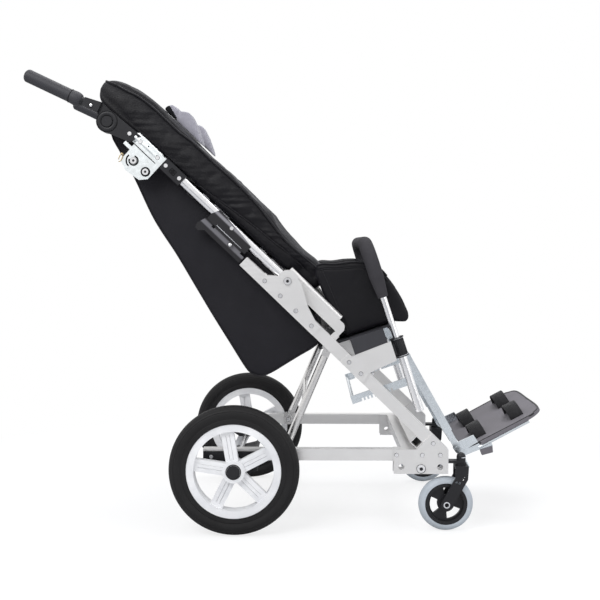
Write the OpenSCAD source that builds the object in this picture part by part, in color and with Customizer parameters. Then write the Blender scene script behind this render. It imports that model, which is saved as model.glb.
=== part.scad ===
// Folding special needs stroller: aluminium side frames, padded seat and back,
// two push handles, safety bar, adjustable legrest with a footplate.
// +X is forward, +Y is the rider's left, +Z is up. The floor is Z = 0.

/* [Rear wheels] */
// Outer diameter of a rear tyre
wheel_d = 300; // [260:1:340]
// Width of a rear tyre
wheel_w = 38; // [30:1:46]
// Diameter where the tyre sits on the rim
rim_d = 217; // [190:1:236]
// Gap between a rear hub and its axle bracket
wheel_gap = 10; // [6:0.5:30]
// Number of spokes in a rear wheel
spoke_count = 5; // [3:1:7]
// Diameter of the rear axle
axle_d = 12; // [10:0.5:15]
// Diameter of the quick-release cap in the hub
hub_cap_d = 30; // [24:1:36]

/* [Casters] */
// Outer diameter of a caster tyre
caster_d = 127; // [110:1:135]
// Width of a caster tyre
caster_w = 26; // [20:1:30]
// Offset of a swivel axis outside its side frame's middle plane
caster_out = 3; // [0:0.5:8]
// Offset of a caster axle behind its swivel axis
caster_trail = 35; // [28:1:40]
// Distance of a swivel axis ahead of the front plates
caster_reach = 31; // [28:1:40]

/* [Side frames] */
// Distance between the middle planes of the two side frames
frame_w = 428; // [400:1:460]
// Distance of the back pivot ahead of the rear axle
pivot_x = 122; // [110:1:135]
// Height of the back pivot above the floor
pivot_z = 581; // [560:1:610]
// Slope of the main beams below the horizontal
beam_angle = 44; // [42:0.5:46]
// Height of a beam's section
beam_h = 28; // [24:1:32]
// Width of a beam's and a rail's section
beam_w = 22; // [20:1:26]
// Wall of the beams and rails
tube_wall = 2; // [1.5:0.25:3]
// Distance of a beam's middle line below the back pivot
beam_drop = 36; // [33:1:40]
// Height of a lower rail's section
rail_h = 27; // [24:1:32]
// Height of a rail's middle line above the rear axle
rail_rise = 28; // [26:1:32]
// Length of the rails behind the rear axle
rail_back = 75; // [60:1:90]
// Thickness of the side plates
plate_t = 4; // [3:0.5:5]
// Diameter of a rear strut
strut_d = 18; // [14:1:22]
// Distance of a strut's lower pin ahead of the rear axle
strut_foot_x = 112; // [100:1:125]

/* [Folding back] */
// Slope of the back tubes at rest
back_angle = 43.5; // [41:0.5:46]
// Diameter of a back tube
back_tube_d = 21.4; // [19:0.1:23]
// Length of a back tube above the pivot
back_len = 475; // [450:1:520]
// Width of the latch on a back tube
latch_w = 28; // [24:1:32]

/* [Push handles] */
// Diameter of a handle knuckle
knuckle_d = 50; // [44:1:56]
// Distance of a knuckle beyond the end of its back tube
knuckle_reach = 72; // [66:1:84]
// Diameter of a grip
grip_d = 30; // [26:1:34]
// Length of a grip
grip_len = 126; // [110:1:150]
// Rise of the handles above the horizontal at rest
handle_angle = 25.3; // [10:0.1:35]
// Diameter of a knuckle's push button
button_d = 24; // [18:1:28]
// Travel of a knuckle's push button
button_travel = 4; // [3:0.5:5]

/* [Seat] */
// Upward tilt of the seat towards the front
seat_tilt = 18.6; // [15:0.5:21]
// Length of the seat pan
pan_len = 188; // [175:1:200]
// Thickness of the seat cushion
cushion_t = 80; // [60:1:84]
// Gap between a side frame and the seat's side panel
seat_gap = 23; // [20:1:30]
// Thickness of a seat side panel
side_panel_t = 20; // [14:1:22]
// Thickness of the back pad's upper part
back_pad_t = 74; // [60:1:80]

/* [Safety bar] */
// Backward lean of the safety bar from upright
bar_lean = 18.2; // [14:0.2:20]
// Diameter of the safety bar's tube
bar_d = 16; // [14:0.5:18]
// Diameter of the safety bar's foam sleeve
foam_d = 34; // [28:1:36]
// Height of the bar's top above its collars at rest, along the bar
bar_rise = 252; // [246:1:280]
// Distance of an arm's middle line inside the side frame's outer face
bar_in = 25; // [23:0.5:26]

/* [Legrest] */
// Forward lean of the legrest from straight down at rest
leg_lean = 29.4; // [24:0.2:32]
// Distance from the legrest's upper pivot to the footplate's rod
leg_len = 255; // [240:1:264]
// Thickness of the lug between a leg bar and its collar
lug_t = 4.9; // [3.5:0.1:7]
// Upward tilt of the footplate towards the front
foot_tilt = 28.5; // [15:0.5:32]
// Length of the footplate
foot_len = 208; // [180:1:220]
// Gap between the footplate and a leg bar's middle plane
foot_gap = 18; // [16:1:50]

/* [Hidden] */
clear = 0.3;
run_clear = 0.05;
over = 1;
big = 2000;
round_fn = 48;
web_share = 0.96;
soft_fn = 40;

// Lower frame, worked out from the driving sizes
axle_z = wheel_d / 2;
frame_y = frame_w / 2;
in_y = frame_y - beam_w / 2;
out_y = frame_y + beam_w / 2;
rail_z = axle_z + rail_rise;
rail_top = rail_z + rail_h / 2;
rail_bottom = rail_z - rail_h / 2;
beam_hi = -beam_drop + beam_h / 2;
beam_lo = -beam_drop - beam_h / 2;
beam_start = -50;
beam_s_end = (pivot_z + beam_hi * cos(beam_angle) - rail_top) / sin(beam_angle);
nose_x = pivot_x + beam_s_end * cos(beam_angle) + beam_hi * sin(beam_angle);
front_plate_len = 126;
front_plate_depth = 57;
front_plate_x = nose_x - front_plate_len;
front_cut_back = 53;
front_cut_s = beam_s_end - front_cut_back;
cross_tube_side = 22;
cross_bar_w = 30;
cross_bar_h = 20;
cross_bar_in = 19;
rivet_d = 9;
rivet_head = 1.6;
pin_d = 8;
bolt_d = 10;
bolt_head_d = 17;
bolt_head_h = 4;

// Hinge plates, along and across the beam
plate_tail = 105;
plate_rise = 25;
plate_end = 128;
ear_r = 25;
rivet_pitch = 49.5;
rivet_first = 38;

// Struts
strut_top_s = 172;
strut_flat_t = 6;
strut_flat_w = 28;
strut_flat_len = 34;
strut_y = in_y - strut_flat_t / 2 - run_clear;
strut_top = beam_point(strut_top_s, -beam_drop);
strut_foot = [strut_foot_x, rail_z];
strut_tilt = atan2(strut_top[0] - strut_foot[0], strut_top[1] - strut_foot[1]);
strut_len = norm(strut_top - strut_foot);
strut_tube_share = 0.44;
strut_tube_d = 12;

// Axle brackets
bracket_len = 126;
bracket_front = 52;
bracket_t = 5;
bracket_web = 6;
bracket_drop = 20;
brake_pin_x = 38;
brake_pin_drop = -1;
brake_pin_d = 10;
brake_pedal_len = 62;
brake_pedal_w = 90;
brake_pedal_t = 6;
brake_tilt = 14;

// Wheels
rim_w = 32;
rim_lip = 17;
hub_d = 52;
hub_w = 40;
spoke_w = 29;
spoke_t = 16;
spoke_groove = 5;
spoke_groove_w = 9;
spoke_turn = 27.5;
wheel_track = 2 * (out_y + bracket_t + wheel_gap + hub_w / 2);
hub_cap_h = 9;
hub_cap_travel = 3;
hub_cap_out = 3;
caster_rim_d = 98;
caster_hub_d = 26;
caster_rim_w = 22;
caster_web_t = 8;
caster_window_in = 20;
caster_window_out = 37;
caster_window_angle = 64;
caster_window_turn = 67;
fork_t = 4;
fork_gap = 3.5;
fork_crown_r = 15;
fork_crown_h = 12;
fork_top_gap = 10;
caster_axle_d = 8;
caster_x = nose_x + caster_reach;
caster_y = frame_y + caster_out;
fork_top = caster_d + fork_top_gap + fork_crown_h + fork_top_gap;
stem_d = 10;
housing_d = 21;
housing_h = 24;
caster_arm_w = 20;
caster_arm_h = 6;
caster_arm_in = 26;

// Back frame, along and across the back tube
knuckle_drop = 19;
knuckle_w = 28;
cheek_t = 6;
arm_plate_t = knuckle_w - 2 * cheek_t - 2 * clear;
knuckle_s = -back_len - knuckle_reach;
knuckle_pin_d = 8;
socket_len = 24;
handle_rise = 17.3;
arm_end = 68;
arm_start = 29;
arm_root_h = 28;
arm_tip_h = 23;
neck_end = 92;
neck_d = 18;
sleeve_len = 84;
bracket_hang = 60;
clamp_len = 60;
clamp_h = 28;
clamp_w = 27;
clamp_s = -back_len + sleeve_len + run_clear;
housing_len = 118;
housing_s = -232;
lever_gap = 23.5;
lever_len = 108;
lever_s = -218;
lever_h = 17;
lever_up = -47;
lever_w = 16;
back_cross_d = 16;
back_eye_d = 25;
back_cross_in = 33;
back_cross_s = clamp_s + back_cross_in;

// Pads
pad_rear_up = 14;
pad_front_up = pad_rear_up + back_pad_t;
pad_over = 147;
pad_top_s = -back_len - pad_over;
pad_bottom_s = 68;
pad_split_s = -330;
pad_gap = 7;
pad_wide = 2 * (in_y - pad_gap);
seat_w = 2 * (in_y - side_panel_t - seat_gap);
pad_side_gap = 4;
pad_narrow = seat_w - 2 * pad_side_gap;
headrest_drop = 129;
headrest_len = 136;
headrest_h = 41;
headrest_w = 71;
headrest_in = 39;

// Rear bag
bag_gap = 15;
bag_w = 2 * (in_y - bag_gap);
bag_len = 522;
bag_depth = 214;
bag_wall = 3;
bag_tab = 16;
bag_tab_lead = 26;

// Seat, measured from the point where its pan starts above the beam
seat_start_s = 209;
seat_start_up = -17;
seat_at = beam_point(seat_start_s, seat_start_up);
pan_t = 5;
pan_lip = 20;
pan_back_share = 0.34;
pan_back = pan_len * pan_back_share;
pan_over = 1;
pan_w = seat_w + 2 * side_panel_t + 2 * pan_over;
seat_rail_len = 80;
seat_rail_in = 12;
seat_rail_low = 20;
panel_over = 4;
panel_len = pan_len + panel_over;
panel_h = 189;
cushion_back = 28;
cushion_over = 6;
cushion_len = pan_len + cushion_over;
cushion_gap = 3;
cushion_w = seat_w - 2 * cushion_gap;
cushion_round_share = 0.2;
link_s = 24;
link_end = 160;
link_up = 5;
link_w = 27;
link_t = 4;
seat_tube_d = 16;
seat_tube_up = 21;
seat_tube_s = -14;
seat_tube_end = 150;

// Safety bar
collar_s = 293.3;
collar_up = 69.1;
collar_at = beam_point(collar_s, collar_up);
collar_d = 29;
collar_h = 46;
flange_d = 34;
flange_t = 2;
collar_lug_in = 10;
collar_lug_out = 22;
collar_lug_h = 26;
bar_y = out_y - bar_in;
bar_w = 2 * bar_y;
bar_bend = 48;
bar_insert = 58;
foam_end = 122;
foam_taper = 50;
foam_tip_d = 24;
guide_d = 20;
guide_len = 135;
guide_cap = 5;

// Legrest
leg_drop = 25;
leg_ahead = 19;
leg_at = [collar_at[0] + leg_ahead, collar_at[1] - leg_drop];
leg_bar_w = 19;
leg_bar_t = 10;
leg_y = bar_y - flange_d / 2 - 2 * run_clear - lug_t - leg_bar_t / 2;
leg_split = 205;
leg_groove_w = 4;
leg_groove_t = 1;
leg_groove_a = 74;
leg_groove_b = 198;
lug_w = 20;
foot_rod_d = 10;
foot_eye_d = 18;
lower_leg_w = 15;
lower_leg_t = 7;
lower_leg_in = 90;
lower_leg_held = 45;
comb_along = 57.6;
comb_tilt = 19;
comb_len = 166;
comb_h = 19;
comb_t = 4;
comb_gap = 0.5;
comb_y = leg_y + leg_bar_t / 2 + comb_t / 2 + comb_gap;
comb_rod_d = 8;
comb_tooth = 9;
comb_notch = 4.5;
comb_notch_depth = 7;
comb_tooth_from = 70;
comb_tooth_count = 9;
comb_pin_d = 7;
comb_pin_gap = 0.8;
comb_pin_back = 92;
foot_t = 8;
foot_lift = -22;
foot_ahead = 14;
foot_round = 45;
foot_step = 56;
foot_w = 2 * (leg_y - foot_gap);
foot_bracket_in = 8.5;
foot_bracket_t = 4;
foot_bracket_len = 78;
foot_bracket_drop = 37.5;
foot_hook_d = 6;
foot_hook_len = 58;
foot_hook_at = 3;
foot_stop_w = 12;
wire_d = 8;
wire_start_share = 0.6;
strap_w = 34;
strap_t = 3;
strap_h = 30;
strap_len = 84;
knob_d = 20;

// Overall length, used to put the origin under the middle of the object
knuckle_at = back_point(knuckle_s, -knuckle_drop);
grip_cap = grip_d / 3;
cap_reach = norm([grip_cap * cos(handle_angle), grip_d / 2 * sin(handle_angle)]);
grip_reach = (neck_end + grip_len - grip_cap) * cos(handle_angle) + cap_reach;
tip_x = knuckle_at[0] - grip_reach + handle_rise * sin(handle_angle);
leg_foot = [leg_at[0] + leg_len * sin(leg_lean), leg_at[1] - leg_len * cos(leg_lean)];
toe_x = leg_foot[0] + (foot_ahead + foot_len) * cos(foot_tilt) - foot_lift * sin(foot_tilt);
mid_x = (toe_x + tip_x) / 2;

function beam_point(s, n) = [
  pivot_x + s * cos(beam_angle) + n * sin(beam_angle),
  pivot_z - s * sin(beam_angle) + n * cos(beam_angle)
];

function back_point(s, n) = [
  pivot_x + s * cos(back_angle) + n * sin(back_angle),
  pivot_z - s * sin(back_angle) + n * cos(back_angle)
];

function scaled(shares, w, h) = [for (p = shares) [p[0] * w, p[1] * h]];

// Moves each side of an anticlockwise outline inwards by t
function corner_in(a, b, c, t) = b + t * (unit(c - b) - unit(b - a)) / turn_of(unit(b - a), unit(c - b));
function unit(v) = v / norm(v);
function turn_of(u, v) = u[0] * v[1] - u[1] * v[0];
function inset(pts, t) = [
  for (i = [0:len(pts) - 1])
    corner_in(pts[(i + len(pts) - 1) % len(pts)], pts[i], pts[(i + 1) % len(pts)], t)
];

// Colours
light_metal = [0.78, 0.77, 0.76];
bright_metal = [0.88, 0.88, 0.90];
zinc = [0.80, 0.86, 0.90];
black_plastic = [0.10, 0.10, 0.11];
smoke_plastic = [0.22, 0.22, 0.25];
black_fabric = [0.06, 0.06, 0.07];
grey_fabric = [0.55, 0.55, 0.58];
tyre_black = [0.12, 0.11, 0.11];
tyre_grey = [0.60, 0.66, 0.72];
rim_white = [0.88, 0.89, 0.93];
mat_grey = [0.36, 0.34, 0.38];

// Placement helpers
module placed() {
  translate([-mid_x, 0, 0]) children();
}

module right() {
  mirror([0, 1, 0]) children();
}

module both() {
  children();
  mirror([0, 1, 0]) children();
}

// A side profile drawn in X and Z, from y to y + t
module slab(y, t) {
  translate([0, y + t, 0]) rotate([90, 0, 0]) linear_extrude(t) children();
}

// A round bar along Y, from y to y + len
module rod_y(x, z, y, len, d) {
  translate([x, y, z]) rotate([-90, 0, 0]) cylinder(h = len, d = d, $fn = round_fn);
}

module on_beam() {
  translate([pivot_x, 0, pivot_z]) rotate([0, beam_angle, 0]) children();
}

module on_back() {
  translate([pivot_x, 0, pivot_z]) rotate([0, back_angle, 0]) children();
}

module on_handle() {
  translate([knuckle_at[0], frame_y, knuckle_at[1]]) rotate([0, 180 + handle_angle, 0]) children();
}

module on_seat() {
  translate([seat_at[0], 0, seat_at[1]]) rotate([0, -seat_tilt, 0]) children();
}

module on_bar() {
  translate([collar_at[0], 0, collar_at[1]]) rotate([0, -bar_lean, 0]) children();
}

module on_leg() {
  translate([leg_at[0], 0, leg_at[1]]) rotate([0, 90 - leg_lean, 0]) children();
}

module on_comb() {
  on_leg() translate([comb_along, 0, 0]) rotate([0, leg_lean - 90 - comb_tilt, 0]) children();
}

module on_foot() {
  translate([leg_foot[0], 0, leg_foot[1]]) rotate([0, -foot_tilt, 0]) children();
}

// A flat bar with round ends between two points of a side profile
module bar_2d(a, b, w) {
  dir = b - a;
  translate(a) circle(d = w, $fn = round_fn);
  translate(b) circle(d = w, $fn = round_fn);
  translate(a) rotate(atan2(dir[1], dir[0])) translate([0, -w * web_share / 2])
    square([norm(dir), w * web_share]);
}

// Side frames
module beam() {
  difference() {
    on_beam() translate([beam_start, in_y, beam_lo]) difference() {
      cube([beam_s_end - beam_start + beam_h, beam_w, beam_h]);
      translate([-over, tube_wall, tube_wall])
        cube([beam_s_end - beam_start + beam_h + 2 * over, beam_w - 2 * tube_wall, beam_h - 2 * tube_wall]);
    }
    translate([0, in_y - over, rail_top - beam_h * 4 + run_clear])
      cube([nose_x + beam_h * 4, beam_w + 2 * over, beam_h * 4]);
  }
}

module beams() {
  color(light_metal) placed() both() beam();
}

module rails() {
  len = rail_back + nose_x - plate_t;
  color(light_metal) placed() both() translate([-rail_back, in_y, rail_bottom]) difference() {
    cube([len, beam_w, rail_h]);
    translate([-over, tube_wall, tube_wall])
      cube([len + 2 * over, beam_w - 2 * tube_wall, rail_h - 2 * tube_wall]);
  }
}

module hinge_plate_2d() {
  difference() {
    union() {
      polygon([
        [-plate_tail, beam_lo], [-plate_tail, beam_lo + plate_rise],
        [-plate_tail * 0.42, beam_lo + plate_rise * 1.04], [-ear_r, -ear_r * 0.3],
        [ear_r * 0.6, ear_r * 0.8], [ear_r * 1.1, ear_r * 0.7], [rivet_pitch * 1.55, -ear_r * 0.45],
        [rivet_pitch * 2.2, beam_hi], [plate_end, beam_hi], [plate_end, beam_lo]
      ]);
      circle(r = ear_r, $fn = round_fn);
    }
    circle(d = bolt_d, $fn = round_fn);
  }
}

module hinge_plates() {
  color(light_metal) placed() both() on_beam() for (y = [out_y, in_y - plate_t])
    translate([0, y + plate_t, 0]) rotate([90, 0, 0]) linear_extrude(plate_t) hinge_plate_2d();
}

module front_plate_2d() {
  lower = rail_top - front_plate_depth;
  cut_top = beam_point(front_cut_s, beam_hi);
  cut_low_x = cut_top[0] - (cut_top[1] - rail_top) * tan(beam_angle);
  hole_d = front_plate_depth * 0.24;
  difference() {
    polygon([
      [front_plate_x, lower], [nose_x, lower], [nose_x, rail_top], cut_top, [cut_low_x, rail_top],
      [front_plate_x, rail_top]
    ]);
    for (share = [0.14, 0.85])
      translate([front_plate_x + front_plate_len * share, lower + front_plate_depth * 0.28])
        circle(d = hole_d, $fn = round_fn);
    translate([front_plate_x + front_plate_len / 2, lower + front_plate_depth * 0.22])
      circle(d = bolt_d, $fn = round_fn);
  }
}

module front_plates() {
  color(light_metal) placed() both() for (y = [out_y, in_y - plate_t])
    slab(y, plate_t) front_plate_2d();
}

module cross_tube_front() {
  len = frame_w + beam_w;
  color(light_metal) placed() on_beam()
    translate([front_cut_s - cross_tube_side - clear, -len / 2, beam_lo - cross_tube_side]) difference() {
      cube([cross_tube_side, len, cross_tube_side]);
      translate([tube_wall, -over, tube_wall])
        cube([cross_tube_side - 2 * tube_wall, len + 2 * over, cross_tube_side - 2 * tube_wall]);
    }
}

module cross_bar_flat() {
  len = 2 * (in_y - plate_t);
  color(light_metal) placed()
    translate([front_plate_x + cross_bar_in, -len / 2, rail_top - cross_bar_h])
      cube([cross_bar_w, len, cross_bar_h]);
}

module strut_shape() {
  translate([strut_foot[0], strut_y, strut_foot[1]]) rotate([0, strut_tilt, 0]) {
    for (end = [0, 1]) translate([0, 0, end * strut_len]) mirror([0, 0, end]) {
      rotate([90, 0, 0]) cylinder(h = strut_flat_t, d = strut_flat_w, center = true, $fn = round_fn);
      translate([-strut_flat_w / 2, -strut_flat_t / 2, 0])
        cube([strut_flat_w, strut_flat_t, strut_flat_len * 0.5]);
      translate([-strut_d / 2, -strut_flat_t / 2, 0]) cube([strut_d, strut_flat_t, strut_flat_len]);
    }
    translate([0, -strut_d / 2 + strut_flat_t / 2, strut_flat_len * 0.8])
      cylinder(h = strut_len - strut_flat_len * 1.6, d = strut_d, $fn = round_fn);
  }
}

module struts() {
  color(bright_metal) placed() both() strut_shape();
}

module strut_cross_tube() {
  at = strut_foot + (strut_top - strut_foot) * strut_tube_share;
  inner = strut_y - strut_d + strut_flat_t / 2;
  color(bright_metal) placed() rod_y(at[0], at[1], -inner, 2 * inner, strut_tube_d);
}

module rear_axle() {
  half = wheel_track / 2 + hub_w / 2 - hub_cap_h - hub_cap_travel - clear;
  color(bright_metal) placed() rod_y(0, axle_z, -half, 2 * half, axle_d);
}

module axle_bracket() {
  low = axle_z - bracket_drop;
  difference() {
    union() {
      for (y = [out_y, in_y - bracket_t]) slab(y, bracket_t) polygon([
        [bracket_front - bracket_len, rail_bottom], [bracket_front - bracket_len, rail_z + rail_h * 0.3],
        [bracket_front, rail_z + rail_h * 0.3], [bracket_front, axle_z - brake_pin_d],
        [axle_d * 2, low], [-axle_d * 2, low]
      ]);
      translate([bracket_front - bracket_len, in_y - over, rail_bottom - bracket_web])
        cube([bracket_len, beam_w + 2 * over, bracket_web]);
    }
    rod_y(0, axle_z, 0, big / 4, axle_d + 2 * run_clear);
    rod_y(brake_pin_x, axle_z + brake_pin_drop, 0, in_y + over, brake_pin_d + 2 * run_clear);
  }
}

module axle_brackets() {
  color(black_plastic) placed() both() axle_bracket();
}

module brake_pedal() {
  len = 2 * (in_y - run_clear);
  color(black_plastic) placed() {
    rod_y(brake_pin_x, axle_z + brake_pin_drop, -len / 2, len, brake_pin_d);
    translate([brake_pin_x, -brake_pedal_w / 2, axle_z + brake_pin_drop]) rotate([0, -brake_tilt, 0])
      translate([-brake_pedal_len, 0, -brake_pedal_t / 2])
        cube([brake_pedal_len, brake_pedal_w, brake_pedal_t]);
  }
}

// Casters
module caster_housing() {
  translate([caster_x, caster_y, fork_top + clear]) difference() {
    union() {
      cylinder(h = housing_h - housing_d / 2, d = housing_d, $fn = round_fn);
      translate([0, 0, housing_h - housing_d / 2]) sphere(d = housing_d, $fn = round_fn);
    }
    translate([0, 0, -over])
      cylinder(h = housing_h - housing_d / 3 + over, d = stem_d + 2 * run_clear, $fn = round_fn);
  }
  translate([nose_x - caster_arm_in, caster_y - caster_arm_w / 2, fork_top + clear]) difference() {
    cube([caster_arm_in + caster_reach, caster_arm_w, caster_arm_h]);
    translate([caster_arm_in + caster_reach, caster_arm_w / 2, -over])
      cylinder(h = caster_arm_h + 2 * over, d = housing_d - over, $fn = round_fn);
  }
}

module caster_arms() {
  color(black_plastic) placed() both() difference() {
    caster_housing();
    translate([0, in_y - over, rail_bottom - clear])
      cube([nose_x - plate_t + clear, beam_w + 2 * over, rail_h + clear]);
    for (y = [out_y - run_clear, in_y - beam_w + run_clear]) translate([nose_x - front_plate_len, y, 0])
      cube([front_plate_len + run_clear, beam_w, fork_top + housing_h]);
  }
}

module fork_cheek_2d() {
  axle_at = [-caster_trail, caster_d / 2];
  hole_shares = [[0.26, 2.55, 0.17], [0.12, 3.0, 0.17], [-0.38, 3.7, 0.22], [-0.85, 3.55, 0.2]];
  difference() {
    union() {
      polygon([
        [-fork_crown_r, fork_top - fork_crown_h], [fork_crown_r, fork_top - fork_crown_h],
        [fork_crown_r * 0.9, fork_top - fork_crown_h * 3],
        [axle_at[0] + fork_crown_r * 0.7, axle_at[1] - fork_crown_r * 0.6],
        [axle_at[0] - fork_crown_r * 0.6, axle_at[1] + fork_crown_r * 0.7],
        [-fork_crown_r, fork_top - fork_crown_h * 2.6]
      ]);
      translate(axle_at) circle(r = fork_crown_r * 0.85, $fn = round_fn);
      translate([-fork_crown_r, fork_top - fork_crown_h]) square([2 * fork_crown_r, fork_crown_h * 0.6]);
    }
    for (hole = hole_shares) translate([hole[0] * fork_crown_r, fork_top - hole[1] * fork_crown_h])
        circle(r = hole[2] * fork_crown_r, $fn = round_fn);
  }
}

module fork_shape() {
  half = caster_w / 2 + fork_gap;
  translate([caster_x, caster_y, 0]) {
    for (y = [half, -half - fork_t]) slab(y, fork_t) fork_cheek_2d();
    translate([-fork_crown_r, -half - fork_t, fork_top - fork_crown_h])
      cube([2 * fork_crown_r, 2 * (half + fork_t), fork_crown_h * 0.6]);
    translate([0, 0, fork_top - fork_crown_h])
      cylinder(h = fork_crown_h, r = fork_crown_r * 0.85, $fn = round_fn);
    translate([0, 0, fork_top - fork_crown_h])
      cylinder(h = fork_crown_h + housing_h - housing_d / 2, d = stem_d, $fn = round_fn);
    rod_y(-caster_trail, caster_d / 2, -half - fork_t, 2 * (half + fork_t), caster_axle_d);
  }
}

module caster_tyre_shape() {
  r = caster_d / 2;
  translate([caster_x - caster_trail, caster_y, r]) rotate([90, 0, 0]) rotate_extrude($fn = round_fn * 2) {
    intersection() {
      translate([r - caster_w / 2, 0]) circle(d = caster_w, $fn = soft_fn);
      translate([caster_rim_d / 2, -caster_w]) square([r, 2 * caster_w]);
    }
  }
}

module caster_rim_shape() {
  r = caster_d / 2;
  translate([caster_x - caster_trail, caster_y, r]) rotate([90, 0, 0]) difference() {
    union() {
      rotate_extrude($fn = round_fn * 2) {
        translate([caster_rim_d / 2 - caster_web_t, -caster_rim_w / 2]) square([caster_web_t, caster_rim_w]);
        translate([0, -caster_w / 2 - fork_gap * 0.8]) square([caster_hub_d / 2, caster_w + fork_gap * 1.6]);
      }
      cylinder(h = caster_web_t, d = caster_rim_d - caster_web_t, center = true, $fn = round_fn);
    }
    cylinder(h = caster_w * 2, d = caster_axle_d + 2 * run_clear, center = true, $fn = round_fn);
    for (i = [0:2]) rotate(caster_window_turn - caster_window_angle / 2 + i * 120)
      rotate_extrude(angle = caster_window_angle, $fn = round_fn * 2) translate([caster_window_in, -caster_w])
        square([caster_window_out - caster_window_in, caster_w * 2]);
  }
}

module fork_R() {
  color(black_plastic) placed() right() fork_shape();
}

module fork_L() {
  color(black_plastic) placed() fork_shape();
}

module caster_tyre_R() {
  color(tyre_grey) placed() right() caster_tyre_shape();
}

module caster_tyre_L() {
  color(tyre_grey) placed() caster_tyre_shape();
}

module caster_rim_R() {
  color(black_plastic) placed() right() caster_rim_shape();
}

module caster_rim_L() {
  color(black_plastic) placed() caster_rim_shape();
}

// Rear wheels
module tyre_shape() {
  r = wheel_d / 2;
  translate([0, wheel_track / 2, axle_z]) rotate([90, 0, 0]) rotate_extrude($fn = round_fn * 2) {
    translate([r - wheel_w / 2, 0]) circle(d = wheel_w, $fn = soft_fn);
    translate([rim_d / 2, -wheel_w * 0.45]) square([r - rim_d / 2 - wheel_w / 2, wheel_w * 0.9]);
  }
}

module rim_shape() {
  reach = rim_d / 2 - rim_lip / 2;
  translate([0, wheel_track / 2, axle_z]) rotate([90, 0, 0]) difference() {
    union() {
      rotate_extrude($fn = round_fn * 2)
        translate([rim_d / 2 - rim_lip, -rim_w / 2]) square([rim_lip, rim_w]);
      cylinder(h = hub_w, d = hub_d, center = true, $fn = round_fn);
      for (i = [0:spoke_count - 1]) rotate(spoke_turn + i * 360 / spoke_count)
        translate([0, -spoke_w / 2, -spoke_t / 2]) cube([reach, spoke_w, spoke_t]);
    }
    for (i = [0:spoke_count - 1], side = [0, 1])
      rotate(spoke_turn + i * 360 / spoke_count) mirror([0, 0, side])
        translate([hub_d / 2, -spoke_groove_w / 2, spoke_t / 2 - spoke_groove])
          cube([reach - hub_d / 2 - rim_lip, spoke_groove_w, spoke_groove + over]);
    cylinder(h = hub_w + 2 * over, d = axle_d + 2 * run_clear, center = true, $fn = round_fn);
    for (side = [0, 1]) mirror([0, 0, side]) translate([0, 0, hub_w / 2 - hub_cap_h])
      cylinder(h = hub_cap_h + over, d = hub_cap_d + 2 * run_clear, $fn = round_fn);
  }
}

module hub_cap_shape() {
  top = hub_cap_h - hub_cap_travel + hub_cap_out;
  translate([0, wheel_track / 2 + hub_w / 2 - hub_cap_h + hub_cap_travel, axle_z]) rotate([-90, 0, 0])
    cylinder(h = top, d = hub_cap_d, $fn = round_fn);
}

module tyre_R() {
  color(tyre_black) placed() right() tyre_shape();
}

module tyre_L() {
  color(tyre_black) placed() tyre_shape();
}

module rim_R() {
  color(rim_white) placed() right() rim_shape();
}

module rim_L() {
  color(rim_white) placed() rim_shape();
}

module hub_cap_R() {
  color(black_plastic) placed() right() hub_cap_shape();
}

module hub_cap_L() {
  color(black_plastic) placed() hub_cap_shape();
}

// Fasteners of the frame
module rivet_at(x, z, y) {
  rod_y(x, z, y, rivet_head, rivet_d);
}

module frame_rivets() {
  lower = rail_top - front_plate_depth;
  color(bright_metal) placed() both() {
    on_beam() for (i = [0:3]) rivet_at(-rivet_first + i * rivet_pitch, -beam_drop, out_y + plate_t);
    on_beam() for (share = [0.789, 0.919]) rivet_at(share * collar_s, -beam_drop, out_y + plate_t);
    on_beam() rivet_at((beam_s_end + front_cut_s) / 2 - rivet_d, -beam_drop, out_y + plate_t);
    for (share = [0.05, 0.52, 0.85])
      rivet_at(front_plate_x + front_plate_len * share, lower + front_plate_depth * 0.78, out_y + plate_t);
    for (x = [-bracket_len * 0.44, bracket_len * 0.25])
      rivet_at(x, rail_z - rail_h * 0.15, out_y + bracket_t);
  }
}

module comb_pin() {
  reach = comb_pin_back;
  c = [leg_at[0] + comb_along * sin(leg_lean), leg_at[1] - comb_along * cos(leg_lean)];
  off = comb_h / 2 + comb_pin_d / 2 + comb_pin_gap;
  x = c[0] - reach * cos(comb_tilt) + off * sin(comb_tilt);
  z = c[1] - reach * sin(comb_tilt) - off * cos(comb_tilt);
  rod_y(x, z, comb_y - comb_t, in_y - comb_y + comb_t - run_clear, comb_pin_d);
}

module frame_bolts() {
  lower = rail_top - front_plate_depth;
  span = beam_w + 2 * plate_t;
  color(bright_metal) placed() both() {
    translate([pivot_x, in_y - plate_t - bolt_head_h, pivot_z]) rotate([-90, 0, 0]) {
      cylinder(h = bolt_head_h, d = bolt_head_d, $fn = round_fn);
      cylinder(h = span + 2 * bolt_head_h, d = bolt_d, $fn = round_fn);
      translate([0, 0, span + bolt_head_h]) cylinder(h = bolt_head_h, d = bolt_head_d, $fn = round_fn);
    }
    comb_pin();
    translate([front_plate_x + front_plate_len / 2, in_y - plate_t, lower + front_plate_depth * 0.22])
      rotate([-90, 0, 0]) {
        cylinder(h = span + bolt_head_h, d = bolt_d, $fn = round_fn);
        translate([0, 0, span]) cylinder(h = bolt_head_h / 2, d = bolt_head_d * 1.2, $fn = round_fn);
      }
    translate([strut_foot[0], strut_y - strut_flat_t / 2 - rivet_head, strut_foot[1]]) rotate([-90, 0, 0])
      cylinder(h = rivet_head, d = rivet_d * 1.2, $fn = round_fn);
    translate([strut_top[0], strut_y - strut_flat_t / 2 - rivet_head, strut_top[1]]) rotate([-90, 0, 0])
      cylinder(h = rivet_head, d = rivet_d * 1.2, $fn = round_fn);
  }
}

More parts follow.
